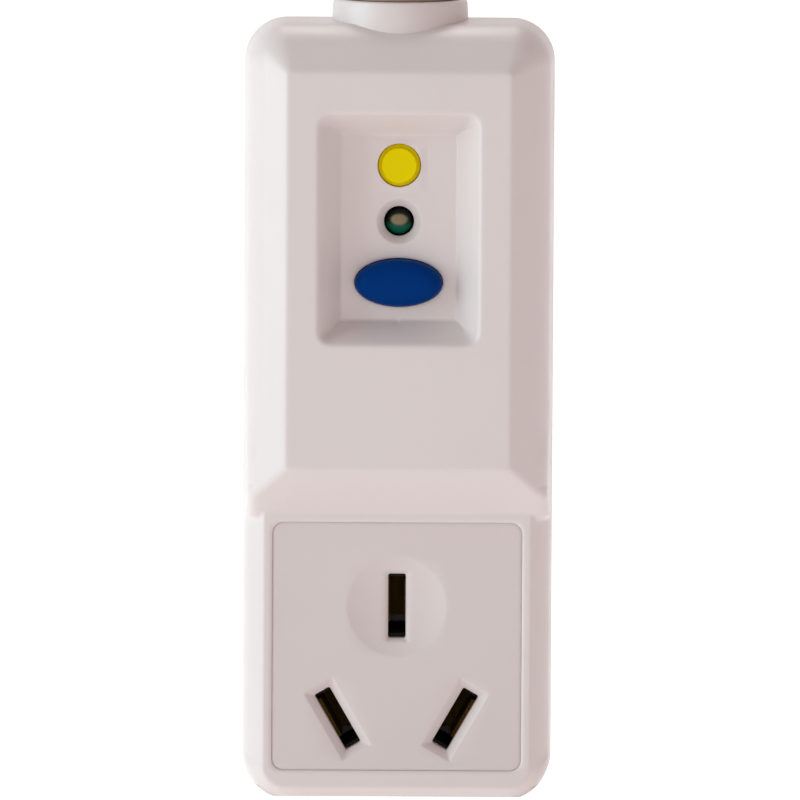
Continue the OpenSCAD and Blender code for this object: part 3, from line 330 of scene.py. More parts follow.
# Cord end: a nylon terminal block with brass barrels and steel screws, and a nylon bar that two screws pull
# down on the cord.
# Natural nylon is a cool milky white with a waxy gloss. Zinc-plated steel is a pale grey with a drawn grain.
natural_nylon = moulded("moulded nylon, natural", "#e6e2d6", "#dcd6c6", 0.38, 0.6, 0.006)
plated_steel = rolled("zinc-plated steel", "#c9ccd0", "#9aa0a6", 0.34, 0.12)
dress(natural_nylon, "terminal_block", "cord_clamp")
dress(brass, "terminal_barrels")
dress(plated_steel, "terminal_screws", "clamp_screws")

# Inner leads: stranded copper under extruded PVC, brown, blue, and green with a yellow stripe. The first two
# pass through the sensing ring.


def extruded(name, pale, deep, stripe=None):
    """Extruded PVC: smooth, a little uneven along its length. A stripe colour winds round every 4 mm."""
    material = moulded(name, pale, deep, 0.36, 1.2, 0.01)
    if stripe:
        tree = material.node_tree
        shader = tree.nodes["Principled BSDF"]
        place = add(tree, "ShaderNodeTexCoord", {}).outputs["Object"]
        wave = add(tree, "ShaderNodeTexWave", {"Vector": place, "Scale": 1000 / 4 / 20, "Distortion": 0.4},
                   wave_type="BANDS", bands_direction="DIAGONAL")
        edge = add(tree, "ShaderNodeMapRange", {"Value": wave.outputs["Fac"], "From Min": 0.6,
                                                "From Max": 0.66})
        both = add(tree, "ShaderNodeMix", {0: edge.outputs["Result"], 6: linear(pale), 7: linear(stripe)},
                   data_type="RGBA")
        tree.links.new(both.outputs[2], shader.inputs["Base Color"])
    return material


dress(extruded("extruded PVC, brown", "#5b3422", "#4a2a1b"), "live_wire")
dress(extruded("extruded PVC, blue", "#2f63a8", "#275593"), "neutral_wire")
dress(extruded("extruded PVC, green and yellow", "#2f8a3c", "#28793a", "#d8c936"), "earth_wire")

# Sensing ring: a wound core in a black glass-filled nylon cup that hangs below the terminals.
# Enamelled copper wire is a warm red-brown with a clear gloss.
enamelled_copper = rolled("enamelled copper wire", "#b5683c", "#8d4a28", 0.3, 0.2)
dress(black_nylon, "sensor_case")
dress(enamelled_copper, "sensor_core")

# Board: glass-epoxy laminate with a green mask, on four screws, with its chip, thyristor, varistor, film
# capacitor, two resistors and four diodes.
# Solder mask is a deep green film, glossy, with the weave of the glass cloth faint under it.
solder_mask = moulded("glass-epoxy board, green mask", "#1f6a3c", "#185733", 0.3, 0.8, 0.01)
dress(solder_mask, "circuit_board")
dress(plated_steel, "board_screws")
dress(black_nylon, "control_chip", "thyristor", "rectifier_diodes")
dress(moulded("dipped epoxy, blue", "#2a5fa5", "#234f8c", 0.3, 1.5, 0.03), "varistor")
dress(moulded("moulded film-capacitor case, yellow", "#d2a93c", "#c39a30", 0.4, 0.5, 0.01), "film_capacitor")
dress(moulded("lacquered resistor, pale blue", "#5c94a8", "#528799", 0.4, 0.7, 0.02), "resistors")

# Switch: a nylon carrier with two silver-faced bridges runs in a nylon base, and closes on rivets at the ends
# of the copper bars.
# Contact silver is a soft near-white metal. Copper strip is pink-brown with darker clouds.
contact_silver = rolled("contact silver", "#dcdad4", "#b5b1a8", 0.3, 0.2)
copper = rolled("rolled copper strip", "#c87f56", "#96583a", 0.34, 0.15)
dress(natural_nylon, "mechanism_base", "contact_carrier")
dress(copper, "live_busbar", "neutral_busbar", "line_tabs")
dress(contact_silver, "fixed_contacts", "moving_contacts", "test_contact")

# Trip coil: enamelled wire wound on a black nylon bobbin, in a frame folded from plated steel. Its plunger
# draws the latch pin out of the carrier.
dress(plated_steel, "solenoid_frame", "trip_plunger", "latch_pin")
dress(black_nylon, "coil_bobbin")
dress(enamelled_copper, "coil_winding")

# Lamp: a 4 mm light-emitting diode in tinted epoxy, in a black sleeve, sunk behind its hole in the panel.
# The epoxy is dark green and clear. Its top is painted near-black as painted shade, and a tan painted
# reflection sits in its middle.
LAMP_Z, LAMP_R, LAMP_TIP, LAMP_END = 81.0, 2.0, -10.6, -5.3
LEG_X, LEG_R, LEG_END = 1.27, 0.3, -1.4
REFLECTION_UP, REFLECTION_HALF = 0.25, (1.25, 0.8)  # the tan painted reflection, seen from the front


def turned(profile, x, z, steps=64):
    """A (radius, depth) profile turned about the line through (x, z) that runs from front to back."""
    profile = np.array(profile)
    turn = np.linspace(0, 2 * np.pi, steps + 1)
    across, up = profile[:, :1] * np.cos(turn), profile[:, :1] * np.sin(turn)
    return np.stack(np.broadcast_arrays(x + across, profile[:, 1:], z + up), -1)


dome = np.radians(np.linspace(90, 0, 10))
lamp_body = np.stack([LAMP_R * np.cos(dome), LAMP_TIP + LAMP_R * (1 - np.sin(dome))], -1)
lamp_body = np.concatenate([lamp_body, [(LAMP_R, LAMP_END), (0, LAMP_END)]])
lamp_leg = [(0, LAMP_END - 0.1), (LEG_R, LAMP_END - 0.1), (LEG_R, LEG_END), (0, LEG_END)]
lamp_legs = [turned(lamp_leg, x, LAMP_Z, 12) for x in (-LEG_X, LEG_X)]
# The epoxy's colour holds painted light: near-black painted shade over the upper part fades to green lower
# down, and an oval tan painted reflection sits just above the middle.
tinted, tree, shader = blank("tinted epoxy, green, painted shade and reflection")
shader.inputs["Roughness"].default_value = 0.2
shader.inputs["Specular IOR Level"].default_value = 0.2
place = add(tree, "ShaderNodeTexCoord", {}).outputs["Object"]
offset = add(tree, "ShaderNodeVectorMath", {0: place, 1: (0.0, 0.0, (LAMP_Z + REFLECTION_UP) / 1000)},
             operation="SUBTRACT")
scaled = add(tree, "ShaderNodeVectorMath", {0: offset.outputs["Vector"],
                                            1: (1000 / REFLECTION_HALF[0], 0.0, 1000 / REFLECTION_HALF[1])},
             operation="MULTIPLY")
length = add(tree, "ShaderNodeVectorMath", {0: scaled.outputs["Vector"]}, operation="LENGTH")
ripple = add(tree, "ShaderNodeTexNoise", {"Vector": place, "Scale": 1000 / 0.8})
painted_reflection = add(tree, "ShaderNodeMapRange", {"Value": length.outputs["Value"], "From Min": 1.1, "From Max": 0.75})
height = add(tree, "ShaderNodeSeparateXYZ", {0: offset.outputs["Vector"]})
below = add(tree, "ShaderNodeMapRange", {"Value": height.outputs["Z"], "From Min": -0.0002,
                                         "From Max": -0.0009})
glass = add(tree, "ShaderNodeMix", {0: below.outputs["Result"], 6: linear("#0b120d"), 7: linear("#00533f")},
            data_type="RGBA")
tint = add(tree, "ShaderNodeMix", {0: painted_reflection.outputs["Result"], 6: glass.outputs[2], 7: linear("#857558")},
           data_type="RGBA")
waver = add(tree, "ShaderNodeBump", {"Height": ripple.outputs["Fac"], "Distance": 1e-5, "Strength": 0.6})
tree.links.new(tint.outputs[2], shader.inputs["Base Color"])
tree.links.new(waver.outputs["Normal"], shader.inputs["Normal"])
put("lamp", [turned(lamp_body, 0, LAMP_Z), *lamp_legs], tinted, "housing", "indicator_led")
dress(black_nylon, "led_spacer")

# Test button: a small round cap moulded in yellow ABS, with a flat top that stands on a lower ring. A lip
# behind the panel keeps it in, and its stem presses the test contact.
LIP_FRONT, LIP_BACK, LIP_OUT = -9.5, -8.3, 1.1
TEST_Z, TEST_R, TEST_TOP, TEST_STEM = 88.9, 2.95, -12.0, 1.2
test_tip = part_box("test_button")[1][1] * 1000
test_profile = [(0, TEST_TOP), (1.2, TEST_TOP), (2.3, TEST_TOP + 0.03), (2.4, TEST_TOP + 0.1),
                (2.46, TEST_TOP + 0.25), (2.5, TEST_TOP + 0.9), (2.9, TEST_TOP + 1.0),
                (TEST_R, TEST_TOP + 1.1), (TEST_R, LIP_FRONT), (TEST_R + LIP_OUT, LIP_FRONT),
                (TEST_R + LIP_OUT, LIP_BACK), (TEST_STEM, LIP_BACK), (TEST_STEM, test_tip), (0, test_tip)]
# Yellow ABS is dense and slightly greenish, with a satin top.
yellow_abs = moulded("moulded ABS, yellow", "#efd900", "#e7cf00", 0.45, 0.3, 0.008, 0.04)
put("button_test", [turned(test_profile, 0, TEST_Z)], yellow_abs, "test_button", "test_button")

# Reset button: an oval cap moulded in blue ABS with a softly domed edge, a lip behind the panel and a square
# stem that pushes the contact carrier.
RESET_Z, RESET_HALF, RESET_TOP, RESET_DOME, RESET_STEM = 72.5, (6.1, 3.3), -14.4, 2.4, 2.5
reset_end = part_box("reset_button")[1][1] * 1000


def oval_cap(centre_z, half, rows, steps=128):
    """Ovals about (0, centre_z), one per (inset, depth) row: both half-axes less the inset, but not below 0,
    at that depth."""
    rows = np.array(rows)
    turn = np.linspace(0, 2 * np.pi, steps + 1)
    a, b = np.maximum(half[0] - rows[:, :1], 0), np.maximum(half[1] - rows[:, :1], 0)
    return np.stack(np.broadcast_arrays(a * np.cos(turn), rows[:, 1:], centre_z + b * np.sin(turn)), -1)


def square_stem(z, half, y0, y1):
    """A closed square bar from y0 to y1: a loop of four corners drawn along y, with a point at each end."""
    corner = np.array([(-1, -1), (1, -1), (1, 1), (-1, 1), (-1, -1)]) * half
    return np.stack([at_depth(corner * s + (0, z), y) for s, y in ((0, y0), (1, y0), (1, y1), (0, y1))])


rise = np.radians(np.linspace(90, 0, 10))
middle = max(RESET_HALF) + 1
reset_rows = [(middle, RESET_TOP), (2.9, RESET_TOP + 0.02)]
reset_rows += list(zip(RESET_DOME * (1 - np.cos(rise)),
                       RESET_TOP + 0.05 + 0.9 * RESET_DOME * (1 - np.sin(rise))))
reset_rows += [(0, LIP_FRONT), (-LIP_OUT, LIP_FRONT), (-LIP_OUT, LIP_BACK), (middle, LIP_BACK)]
# Blue ABS is a deep navy where it faces the eye, lighter where its edge turns to the light.
blue_abs = moulded("moulded ABS, blue", "#00357a", "#003070", 0.42, 0.3, 0.008, 0.02)
put("button_reset", [oval_cap(RESET_Z, RESET_HALF, reset_rows),
                     square_stem(RESET_Z, RESET_STEM, LIP_BACK - 0.1, reset_end)],
    blue_abs, "reset_button", "reset_button")

# Springs: steel wire coiled cold. Two push the buttons out from the board, and one holds the latch pin up
# from the coil's frame.
BOARD_Y, FRAME_TOP, LATCH_FOOT, PLUNGER_Y, END_GAP = -3.0, 62.6, 68.2, 4.8, 0.03
TEST_TRAVEL, RESET_TRAVEL, PLUNGER_TRAVEL = 1.0, 2.5, 3.0
TEST_COIL, RESET_COIL, PLUNGER_COIL = (2.2, 0.5, 4), (4.4, 0.7, 3), (2.75, 0.6, 3)  # radius, wire and turns


def coiled(radius, wire, turns, low, high):
    """Wire coiled about the z axis: its centre line climbs evenly with the angle, half a wire inside low and
    high, and carries a ring of the wire's radius in the plane of the axis. Each end closes on a point."""
    turn = np.linspace(0, 2 * np.pi * turns, 40 * turns + 1)[:, None]
    turn = np.concatenate([turn[:1], turn, turn[-1:]])
    thick = np.full_like(turn, wire / 2)
    thick[[0, -1]] = 0
    ring = np.linspace(0, 2 * np.pi, 13)
    out = radius + thick * np.cos(ring)
    rise = low + wire / 2 + (high - low - wire) * turn / turn[-1]
    return np.stack([out * np.cos(turn), out * np.sin(turn), rise + thick * np.sin(ring)], -1)


# Drawn spring wire is a darker, oiled grey than the plated parts.
spring_wire = rolled("drawn spring wire", "#a9abad", "#7f8285", 0.3, 0.1)
for node, joint, size, z, travel in (
        ("test_spring", "test_button_press", TEST_COIL, TEST_Z, TEST_TRAVEL),
        ("reset_spring", "reset_button_press", RESET_COIL, RESET_Z, RESET_TRAVEL)):
    coil = coiled(*size, LIP_BACK + END_GAP, BOARD_Y - END_GAP)[..., [0, 2, 1]] + (0, 0, z)
    coil = put("coil_" + node, [coil], spring_wire, "housing", node, crease=60.0)
    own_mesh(coil)
coil = coiled(*PLUNGER_COIL, FRAME_TOP + END_GAP, LATCH_FOOT - END_GAP) + (0, PLUNGER_Y, 0)
coil = put("coil_plunger_spring", [coil], spring_wire, "housing", "plunger_spring", crease=60.0)
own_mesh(coil)

# Outlet plate: a square of the same ABS, dropped in from behind and held by its lip, with a shallow dish
# round the earth slot and bevelled lead-ins to the slots.
PLATE_FACE, PLATE_LIP, PLATE_BACK, PLATE_EDGE, PLATE_FALL = -9.65, -7.85, -6.45, 0.5, 0.15
PLATE_CORE, PLATE_FOOT, PLATE_CROWN, PLATE_R, PLATE_LIP_R = 15.85, 5.4, 37.1, 1.6, 2.5
EARTH, EARTH_HALF, DISH_R, DISH_DEPTH = (0.0, 26.85), (1.225, 4.55), 7.0, 1.2
SIDE_X, SIDE_Z, SIDE_HALF, SIDE_TILT = 8.225, 11.0, (1.225, 4.45), np.radians(30)
EARTH_LEAD = ((0.5, 0), (0.42, 0.04), (0.08, 0.4), (0.0, 0.55))
SIDE_LEAD = ((1.2, 0), (1.1, 0.03), (1.0, 0.1), (0.1, 1.0), (0.02, 1.12), (0.0, 1.3))
EARTH_BOX, SIDE_BOX = (-7.7, 19.15, 7.7, 34.55), (3.1, 4.7, 13.35, 17.3)  # what each hole takes of the grid
PLATE_PAST = 1.25  # how far the grid runs past the corner arcs' centres


def slot_rim(centre, half, tilt, corner=0.3):
    """A map to the nearest point of a tilted slot, grown by g, with round corners: the point, turned into
    the slot's own directions, is held within the corner centres, and the rest of its offset is made corner
    long."""
    turn = np.array([(np.cos(tilt), -np.sin(tilt)), (np.sin(tilt), np.cos(tilt))])

    def onto(points, g):
        own = (points - centre) @ turn
        core = np.array(half) + g - corner
        held = np.clip(own, -core, core)
        off = own - held
        return centre + (held + off / np.linalg.norm(off, axis=-1, keepdims=True) * corner) @ turn.T
    return onto


half_x = [SIDE_BOX[0], EARTH_BOX[2], SIDE_BOX[2], PLATE_CORE, PLATE_CORE + PLATE_PAST]
plate_x = ruled([-t for t in half_x[::-1]] + [0] + half_x, 0.3, 1.2, 0.2)
plate_z = ruled([PLATE_FOOT - PLATE_PAST, SIDE_BOX[1], PLATE_FOOT, SIDE_BOX[3], EARTH_BOX[1], EARTH_BOX[3],
                 PLATE_CROWN, PLATE_CROWN + PLATE_PAST], 0.3, 1.2, 0.2)
plate_plan = plan(plate_x, plate_z, PLATE_CORE, PLATE_FOOT, PLATE_CROWN, PLATE_R - PLATE_EDGE)
plate_face = spread(plate_plan, PLATE_R - PLATE_EDGE, PLATE_FACE)
plate_back = spread(plate_plan, PLATE_LIP_R, PLATE_BACK)
plate_loop = edge_loop(plate_plan)
plate_rows = [edge_loop(plate_face)]
for way in (0.25, 0.5, 0.75, 1.0):
    plate_rows.append(spread(plate_loop, PLATE_R - PLATE_EDGE * (1 - way), PLATE_FACE + PLATE_FALL * way**2))
plate_rows += [spread(plate_loop, radius, y) for radius, y in
               ((PLATE_R, PLATE_LIP), (PLATE_LIP_R, PLATE_LIP), (PLATE_LIP_R, PLATE_BACK))]


def in_dish(ring, fall=0.0):
    """Plan points `fall` below the dish, which deepens to DISH_DEPTH by 1 - (distance / DISH_R)^2."""
    far = np.linalg.norm(ring - EARTH, axis=-1) / DISH_R
    return at_depth(ring, PLATE_FACE + DISH_DEPTH * (1 - far**2) + fall)


plate_squares = [square(plate_x, plate_z, EARTH_BOX)]
start, finish = edge_loop(plate_face[plate_squares[0]]), edge_loop(plate_back[plate_squares[0]])
flat = start[:, [0, 2]]
dish_rim, earth_rim = oval(EARTH, (DISH_R, DISH_R))(flat, 0), slot_rim(EARTH, EARTH_HALF, 0.0)
rows = skirt(start, dish_rim, (0, 0.5, 1), PLATE_FACE)
rows += [in_dish(dish_rim + (earth_rim(flat, EARTH_LEAD[0][0]) - dish_rim) * way)
         for way in (0.03, 0.1, 0.25, 0.4, 0.55, 0.7, 0.85, 1.0)]
rows += [in_dish(earth_rim(flat, grow), fall) for grow, fall in EARTH_LEAD[1:]]
plate_holes = [np.stack(rows + [at_depth(earth_rim(flat, 0.0), PLATE_BACK), finish])]
for side in (-1, 1):
    left, right = sorted((side * SIDE_BOX[0], side * SIDE_BOX[2]))
    plate_squares.append(square(plate_x, plate_z, (left, SIDE_BOX[1], right, SIDE_BOX[3])))
    start, finish = edge_loop(plate_face[plate_squares[-1]]), edge_loop(plate_back[plate_squares[-1]])
    flat = start[:, [0, 2]]
    rim = slot_rim((side * SIDE_X, SIDE_Z), SIDE_HALF, -side * SIDE_TILT)
    rows = skirt(start, rim(flat, SIDE_LEAD[0][0]), (0, 0.5, 1), PLATE_FACE)
    rows += [at_depth(rim(flat, grow), PLATE_FACE + fall) for grow, fall in SIDE_LEAD[1:]]
    plate_holes.append(np.stack(rows + [at_depth(rim(flat, 0.0), PLATE_BACK), finish]))
# The plate's ABS is the case's, set a little greyer as painted shade over the outlet end of the front.
plate_abs_painted_shade = moulded("moulded ABS, warm white, plate, painted shade", "#dccfcd", "#d5c8c6", 0.4, 0.35, 0.012, 0.25)
put("outlet_plate", [(plate_face, cells_without(plate_face, plate_squares)), np.stack(plate_rows),
                     (plate_back, cells_without(plate_back, plate_squares)), *plate_holes],
    plate_abs_painted_shade, "housing", "socket_plate")

# Cord bush: a soft grommet moulded in warm grey rubber. Its flange sits inside the case, its shank fills the
# collar, and a short neck shows above.
BUSH_PROFILE = [(4.25, 103.85), (8.1, 103.85), (8.1, 106.05), (7.1, 106.05), (7.1, 111.62), (8.1, 111.62),
                (8.3, 111.75), (8.35, 112.0), (8.35, 114.1), (8.22, 114.42), (7.95, 114.6), (4.75, 114.6),
                (4.4, 114.48), (4.25, 114.2), (4.25, 103.85)]  # radius and height
bush = turned(BUSH_PROFILE, 0, 0, 96)[..., [0, 2, 1]]
bush[..., 1] += PARTING
# Rubber is matt and drinks light, with a fine moulded grain.
bush_rubber = moulded("moulded rubber, warm grey", "#a58d7a", "#97806d", 0.55, 0.5, 0.02)
put("cord_bush", [bush], bush_rubber, "housing", "gland_bush")

# Front half of the case: a raised face whose drafted slopes fall to a rim, a step down to the outlet's
# platform, and a sunk panel for the buttons and the lamp. It is pulled home by screws from the back.
FACE_Y, RISE, DROP = -16.0, 3.8, 6.1
FACE_HALF, FACE_LOW, FACE_TOP, FACE_R = 15.7, 46.6, 102.2, 0.8
STEP_RUN, RIM_BEVEL, RIM_FALL = 6.5, 1.4, 1.1
FRONT_DRAFT = np.tan(np.radians(4.8))
RIM_INSET, EDGE_INSET = 1.589, 2.3
TURN_FROM, TURN_FALL, TURN_FADE = 0.66, 6.5, 6.0
PANEL_HALF, PANEL_LOW, PANEL_TOP, PANEL_DEPTH, PANEL_LEAN, PANEL_R = 11.3, 64.0, 96.4, 4.6, 3.2, 2.0
STEP_ROUND, FACE_ROUND, BEVEL_ROUND, SHELF_ROUND = 0.7, 0.3, 0.25, 0.35  # the widths of the soft corners
FLOOR_ROUND, MOUTH_ROUND = 0.3, 0.5
PAD_LIFT, PAD_EDGE = 0.2, (3.45, 3.85)  # a low round pad about the test button
GATE, GATE_R, GATE_DEPTH = (-0.2, 67.0), 0.32, 0.3  # the pit that the mould's gate leaves
FLOOR_Y = FACE_Y + PANEL_DEPTH
INNER_IN, INNER_UP = 0.65, 1.9  # how far the inner skin is drawn in at the sides and top, and up at the foot
INNER_HALF, INNER_TOP = 17.8, 103.4  # where that starts
BEND_NEAR, BEND_TOP, BEND_WALL = 0.05, 0.3, 1.2
TEST_HOLE, LAMP_HOLE, RESET_HOLE = (3.02, 3.02), (2.1, 2.1), (6.18, 3.38)
FRAME_Z, FRAME_HALF, FRAME_R = 21.25, 17.47, 1.62
TEST_EDGE, RESET_EDGE = ((0.15, 0), (0.05, 0.04), (0, 0.15)), ((0.2, 0), (0.06, 0.05), (0, 0.2))
LAMP_EDGE = ((1.12, 0), (1.02, 0.05), (0.92, 0.16), (0.06, 1.25), (0, 1.4))
FRAME_EDGE = ((0.5, 0), (0.37, 0.013), (0.25, 0.05), (0.12, 0.115), (0, 0.2))
TEST_BOX, LAMP_BOX = (-3.9, 85.0, 3.9, 92.8), (-3.9, 77.5, 3.9, 84.5)
RESET_BOX, FRAME_BOX = (-7.2, 68.2, 7.2, 76.8), (-18.3, 2.95, 18.3, 39.55)
rim_radius = CORNER - RIM_INSET
rim_half, rim_top = CORE + rim_radius, CROWN + rim_radius
edge_radius = CORNER - EDGE_INSET
edge_half, edge_top = CORE + edge_radius, CROWN + edge_radius


def soft_max(a, b, k):
    """The larger of a and b, with the corner between them rounded over k."""
    return np.maximum(a, b) + np.maximum(k - np.abs(a - b), 0) ** 2 / (4 * k)


def box_distance(x, z, half, radius):
    """Distance outside a round-cornered box about the origin, less than 0 inside it."""
    qx, qz = np.abs(x) - half[0] + radius, np.abs(z) - half[1] + radius
    return np.hypot(np.maximum(qx, 0), np.maximum(qz, 0)) + np.minimum(np.maximum(qx, qz), 0) - radius


def front_depth(x, z):
    """Depth behind the raised face: t = 0 on the face's outline and 1 on the rim, where the outline's
    half-width, top and corner radius all grow evenly with t (in a corner, t solves the circle's quadratic).
    The slope is even, and past TURN_FROM it steepens by the square of what is past it, but not at the step.
    The step falls below, the platform with its bevel stops it, and the sunk panel is cut in by its distance
    from the panel's outline. Last come the pad and the gate's pit."""
    side = (np.abs(x) - FACE_HALF) / (rim_half - FACE_HALF)
    top = (z - FACE_TOP) / (rim_top - FACE_TOP)
    cx, cz, grow = np.abs(x) - FACE_HALF + FACE_R, z - FACE_TOP + FACE_R, rim_radius - FACE_R
    mx, mz = rim_half - FACE_HALF - grow, rim_top - FACE_TOP - grow
    qa = grow**2 - mx**2 - mz**2
    qb = 2 * (FACE_R * grow + mx * cx + mz * cz)
    qc = FACE_R**2 - cx**2 - cz**2
    corner = (-qb + np.sqrt(np.maximum(qb * qb - 4 * qa * qc, 0))) / (2 * qa)
    t = np.where((cx > mx * corner) & (cz > mz * corner), corner, np.maximum(side, top))
    step = (FACE_LOW - z) * DROP / STEP_RUN
    turning = TURN_FALL * np.maximum(t - TURN_FROM, 0) ** 2
    slope = t * RISE + turning * smooth(FACE_LOW, FACE_LOW + TURN_FADE, z)
    hump = soft_max(soft_max(slope, step, STEP_ROUND), 0.0, FACE_ROUND)
    middle = FACE_LOW / 2
    beyond = box_distance(x, np.minimum(z - middle, 0), (rim_half - RIM_BEVEL, middle - RIM_BEVEL),
                          rim_radius - RIM_BEVEL)
    shelf = DROP + RIM_FALL * soft_max(np.minimum(beyond, RIM_BEVEL), 0.0, BEVEL_ROUND)
    depth = -soft_max(-hump, -shelf, SHELF_ROUND)
    inside = -box_distance(x, z - (PANEL_LOW + PANEL_TOP) / 2, (PANEL_HALF, (PANEL_TOP - PANEL_LOW) / 2),
                           PANEL_R)
    sunk = -soft_max(-inside * PANEL_DEPTH / PANEL_LEAN, -PANEL_DEPTH, FLOOR_ROUND)
    depth = soft_max(depth, sunk, MOUTH_ROUND)
    pad = 1 - smooth(*PAD_EDGE, np.hypot(x, z - TEST_Z))
    pit = np.exp(-(np.hypot(x - GATE[0], z - GATE[1]) / GATE_R) ** 2)
    return depth - PAD_LIFT * pad + GATE_DEPTH * pit


half_x = [TEST_BOX[2], RESET_BOX[2], PANEL_HALF - PANEL_LEAN, PANEL_HALF, FACE_HALF, 16.6, 17.5, FRAME_BOX[2],
          rim_half - RIM_BEVEL, edge_half]
front_x = ruled([-t for t in half_x[::-1]] + [0] + half_x, 0.16, 0.8, 0.2)
front_z = ruled([FOOT, 0.3, 1.4, FRAME_BOX[1], FOOT + edge_radius, FRAME_BOX[3],
                 FACE_LOW - STEP_RUN, 41.0, 42.0, 43.0, 44.0, 45.0, FACE_LOW,
                 PANEL_LOW, PANEL_LOW + PANEL_LEAN, RESET_BOX[1], RESET_BOX[3], LAMP_BOX[1], LAMP_BOX[3],
                 TEST_BOX[1], TEST_BOX[3], 93.3, PANEL_TOP, FACE_TOP, CROWN, edge_top], 0.16, 0.8, 0.2)
front_plan = plan(front_x, front_z, CORE, FOOT + edge_radius, CROWN, edge_radius)
front_face = case_ring(front_plan, edge_radius, EDGE_INSET, 0.0, FOOT)
front_face[..., 1] = FACE_Y + front_depth(front_face[..., 0], front_face[..., 2])
face_x, face_z = front_face[..., 0], front_face[..., 2]
front_inner = front_face + (0, WALL, 0)
front_inner[..., 0] -= np.sign(face_x) * INNER_IN * smooth(INNER_HALF, edge_half, np.abs(face_x))
front_inner[..., 2] += (INNER_UP * (1 - smooth(0, FRAME_BOX[1], face_z))
                        - INNER_IN * smooth(INNER_TOP, edge_top, face_z))

# The slopes run over into the side walls without a break. Each row of the bend is a point of the curve
# (1-u)^2 p0 + 2u(1-u) p1 + u^2 p2, where p0 ends the slope, p1 is its corner with the wall, which along the
# top lies back by BEND_TOP of the run, and p2 is on the wall.
front_loop = edge_loop(front_plan)
edge_y = edge_loop(front_face)[:, 1]
before = case_ring(front_loop, edge_radius, EDGE_INSET + BEND_NEAR, 0.0, FOOT)
steep = (edge_y - FACE_Y - front_depth(before[:, 0], before[:, 2])) / BEND_NEAR
front_hole = np.sqrt(np.maximum(BUSH_HOLE**2 - front_loop[:, 0] ** 2, 0))
front_hole = np.where(front_loop[:, 4] > 0.99, front_hole, 0)
mouth_y = PARTING - front_hole
run = (EDGE_INSET - (PARTING - edge_y) * FRONT_DRAFT) / (1 - steep * FRONT_DRAFT)
reach = run * (1 - BEND_TOP * np.maximum(front_loop[:, 4], 0))
corner_inset, corner_y = EDGE_INSET - reach, edge_y + steep * reach
wall_y = np.minimum(corner_y + BEND_WALL * run, mouth_y - SEAM - 0.1)
front_rows = [edge_loop(front_face)]
for u in np.linspace(0.125, 1, 8):
    share = ((1 - u) ** 2, 2 * u * (1 - u), u * u)
    inset = share[0] * EDGE_INSET + share[1] * corner_inset + share[2] * (PARTING - wall_y) * FRONT_DRAFT
    depth = share[0] * edge_y + share[1] * corner_y + share[2] * wall_y
    front_rows.append(case_ring(front_loop, edge_radius, inset, depth, FOOT))
for way in (0.5, 1.0):
    depth = wall_y + (mouth_y - SEAM - wall_y) * way
    front_rows.append(case_ring(front_loop, edge_radius, (PARTING - depth) * FRONT_DRAFT, depth, FOOT))
front_rows.append(case_ring(front_loop, edge_radius, front_hole * FRONT_DRAFT + SEAM, mouth_y, FOOT + SEAM))
front_rows.append(case_ring(front_loop, edge_radius, front_hole * FRONT_DRAFT + WALL, mouth_y, WALL))
front_rows.append(edge_loop(front_inner))

front_holes, front_squares = [], []
for box, rim, edge, level in (
        (TEST_BOX, oval((0, TEST_Z), TEST_HOLE), TEST_EDGE, FLOOR_Y - PAD_LIFT),
        (LAMP_BOX, oval((0, LAMP_Z), LAMP_HOLE), LAMP_EDGE, FLOOR_Y),
        (RESET_BOX, oval((0, RESET_Z), RESET_HOLE), RESET_EDGE, FLOOR_Y),
        (FRAME_BOX, slot_rim((0, FRAME_Z), (FRAME_HALF, FRAME_HALF), 0.0, FRAME_R), FRAME_EDGE,
         FACE_Y + DROP)):
    front_squares.append(square(front_x, front_z, box))
    start, finish = edge_loop(front_face[front_squares[-1]]), edge_loop(front_inner[front_squares[-1]])
    flat = start[:, [0, 2]]
    rows = skirt(start, rim(flat, edge[0][0]), (0, 0.35, 0.7, 1), level)
    rows += [at_depth(rim(flat, grow), level + fall) for grow, fall in edge[1:]]
    front_holes.append(np.stack(rows + [at_depth(rim(flat, 0), finish[:, 1]), finish]))
put("shell_front", [(front_face, cells_without(front_face, front_squares)), np.stack(front_rows),
                    (front_inner, cells_without(front_inner, front_squares)), *front_holes, *half_collar(-1)],
    case_abs, "housing", "front_cover")

# Case screws: four pan-head screws in zinc-plated steel. They are driven from the back through the wells, and
# pull the two halves together.
dress(plated_steel, "housing_screws")

# Camera: a long lens, five degrees above the middle of the front.
scene = bpy.context.scene
lens, sensor, across = 900.0, 36.0, 111.7  # mm, the last at the part
elevation, roll = np.radians(5.0), np.radians(0.32)
aim = Vector((0.27, -12.0, 56.08)) / 1000
eye = bpy.data.cameras.new("eye")
eye.lens, eye.sensor_width = lens, sensor
camera = bpy.data.objects.new("eye", eye)
away = across * lens / sensor / 1000 * Vector((0, -np.cos(elevation), np.sin(elevation)))
camera.matrix_world = (Matrix.Translation(aim + away) @ Matrix.Rotation(np.pi / 2 - elevation, 4, "X")
                       @ Matrix.Rotation(roll, 4, "Z"))
scene.collection.objects.link(camera)
scene.camera = camera

# Floor: a wide sheet of opal acrylic lit from below, as on a light table. It shows white where nothing shades
# it, keeps the part's shadow, and throws soft light up at the part.
FLOOR_HALF, FLOOR_Z = 3.0, -5e-5  # m
FLOOR_LIGHT, FLOOR_WHITE = 0.43, 0.78  # the glow as a lamp, and as the lens sees it


def lens_rays(tree):
    """1 for what the lens sees straight, mirrored or through a clear piece, and 0 for what only lights."""
    ray = add(tree, "ShaderNodeLightPath", {})
    seen = ray.outputs["Is Camera Ray"]
    for other in ("Is Glossy Ray", "Is Transmission Ray"):
        seen = add(tree, "ShaderNodeMath", {0: seen, 1: ray.outputs[other]}, operation="MAXIMUM").outputs[0]
    return seen


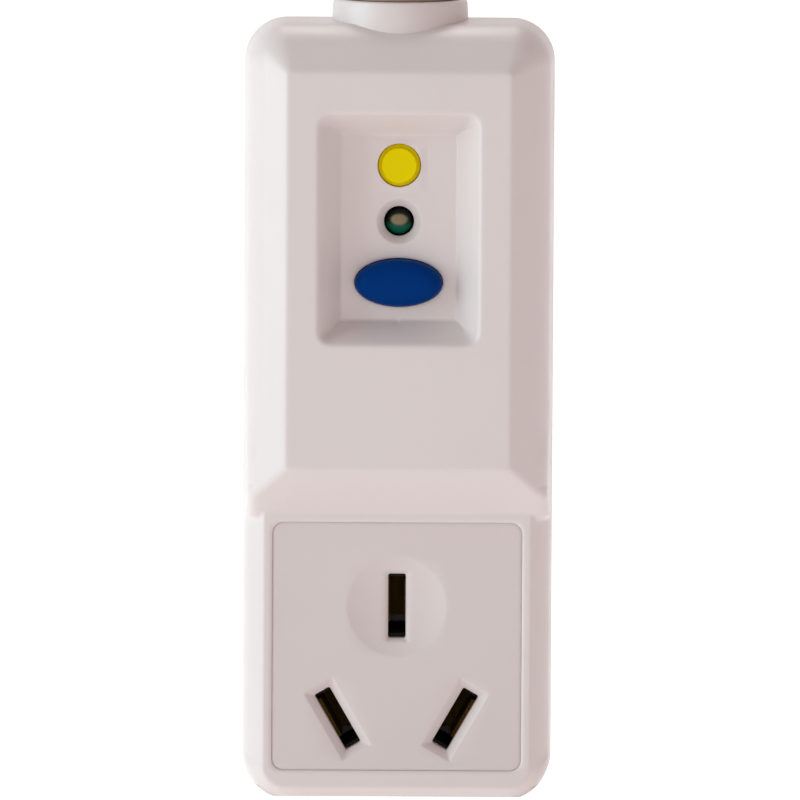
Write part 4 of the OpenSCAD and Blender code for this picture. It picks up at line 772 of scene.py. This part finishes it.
floor_mesh = bpy.data.meshes.new("floor")
floor_corners = np.array([(-1, -1), (1, -1), (1, 1), (-1, 1)]) * FLOOR_HALF
floor_mesh.from_pydata([(x, y, FLOOR_Z) for x, y in floor_corners], [], [(0, 1, 2, 3)])
floor = bpy.data.objects.new("floor", floor_mesh)
scene.collection.objects.link(floor)
paper = bpy.data.materials.new("opal acrylic, lit from below")
paper.use_nodes = True
tree = paper.node_tree
tree.nodes.clear()
matt = add(tree, "ShaderNodeBsdfDiffuse", {"Color": linear("#f2f2f2")})
lift = add(tree, "ShaderNodeMapRange", {"Value": lens_rays(tree), "To Min": FLOOR_LIGHT,
                                        "To Max": FLOOR_WHITE})
glow = add(tree, "ShaderNodeEmission", {"Strength": lift.outputs["Result"]})
both = add(tree, "ShaderNodeAddShader", {0: matt.outputs[0], 1: glow.outputs[0]})
add(tree, "ShaderNodeOutputMaterial", {"Surface": both.outputs[0]})
floor_mesh.materials.append(paper)

# Light: a large cool soft box on the left, weak ones in front and above behind, and a warm pale room.
ROOM_TONE, ROOM_WHITE = (0.42, 0.365, 0.355, 1.0), (1.0, 1.0, 1.0, 1.0)
room = bpy.data.worlds.new("room")
scene.world = room
room.use_nodes = True
tree = room.node_tree
tree.nodes.clear()
tone = add(tree, "ShaderNodeMix", {0: lens_rays(tree), 6: ROOM_TONE, 7: ROOM_WHITE}, data_type="RGBA")
glow = add(tree, "ShaderNodeBackground", {"Color": tone.outputs[2]})
add(tree, "ShaderNodeOutputWorld", {"Surface": glow.outputs[0]})


def soft_box(name, place, size, power, colour):
    """A square lamp at `place` (m) that faces the middle of the part."""
    lamp = bpy.data.lights.new(name, "AREA")
    lamp.shape, lamp.size, lamp.energy, lamp.color = "SQUARE", size, power, linear(colour)[:3]
    holder = bpy.data.objects.new(name, lamp)
    place = Vector(place)
    turn = (place - Vector((0, 0, 0.055))).to_track_quat("Z", "Y")
    holder.matrix_world = Matrix.Translation(place) @ turn.to_matrix().to_4x4()
    scene.collection.objects.link(holder)


soft_box("left box", (-0.95, -0.3, 0.3), 0.7, 6.7, "#dcfaff")
soft_box("front box", (0.0, -1.2, 0.12), 0.5, 0.7, "#ffffff")
soft_box("top box", (0.0, 0.47, 0.96), 0.4, 2.3, "#ffffff")
scene.view_settings.view_transform = "Standard"
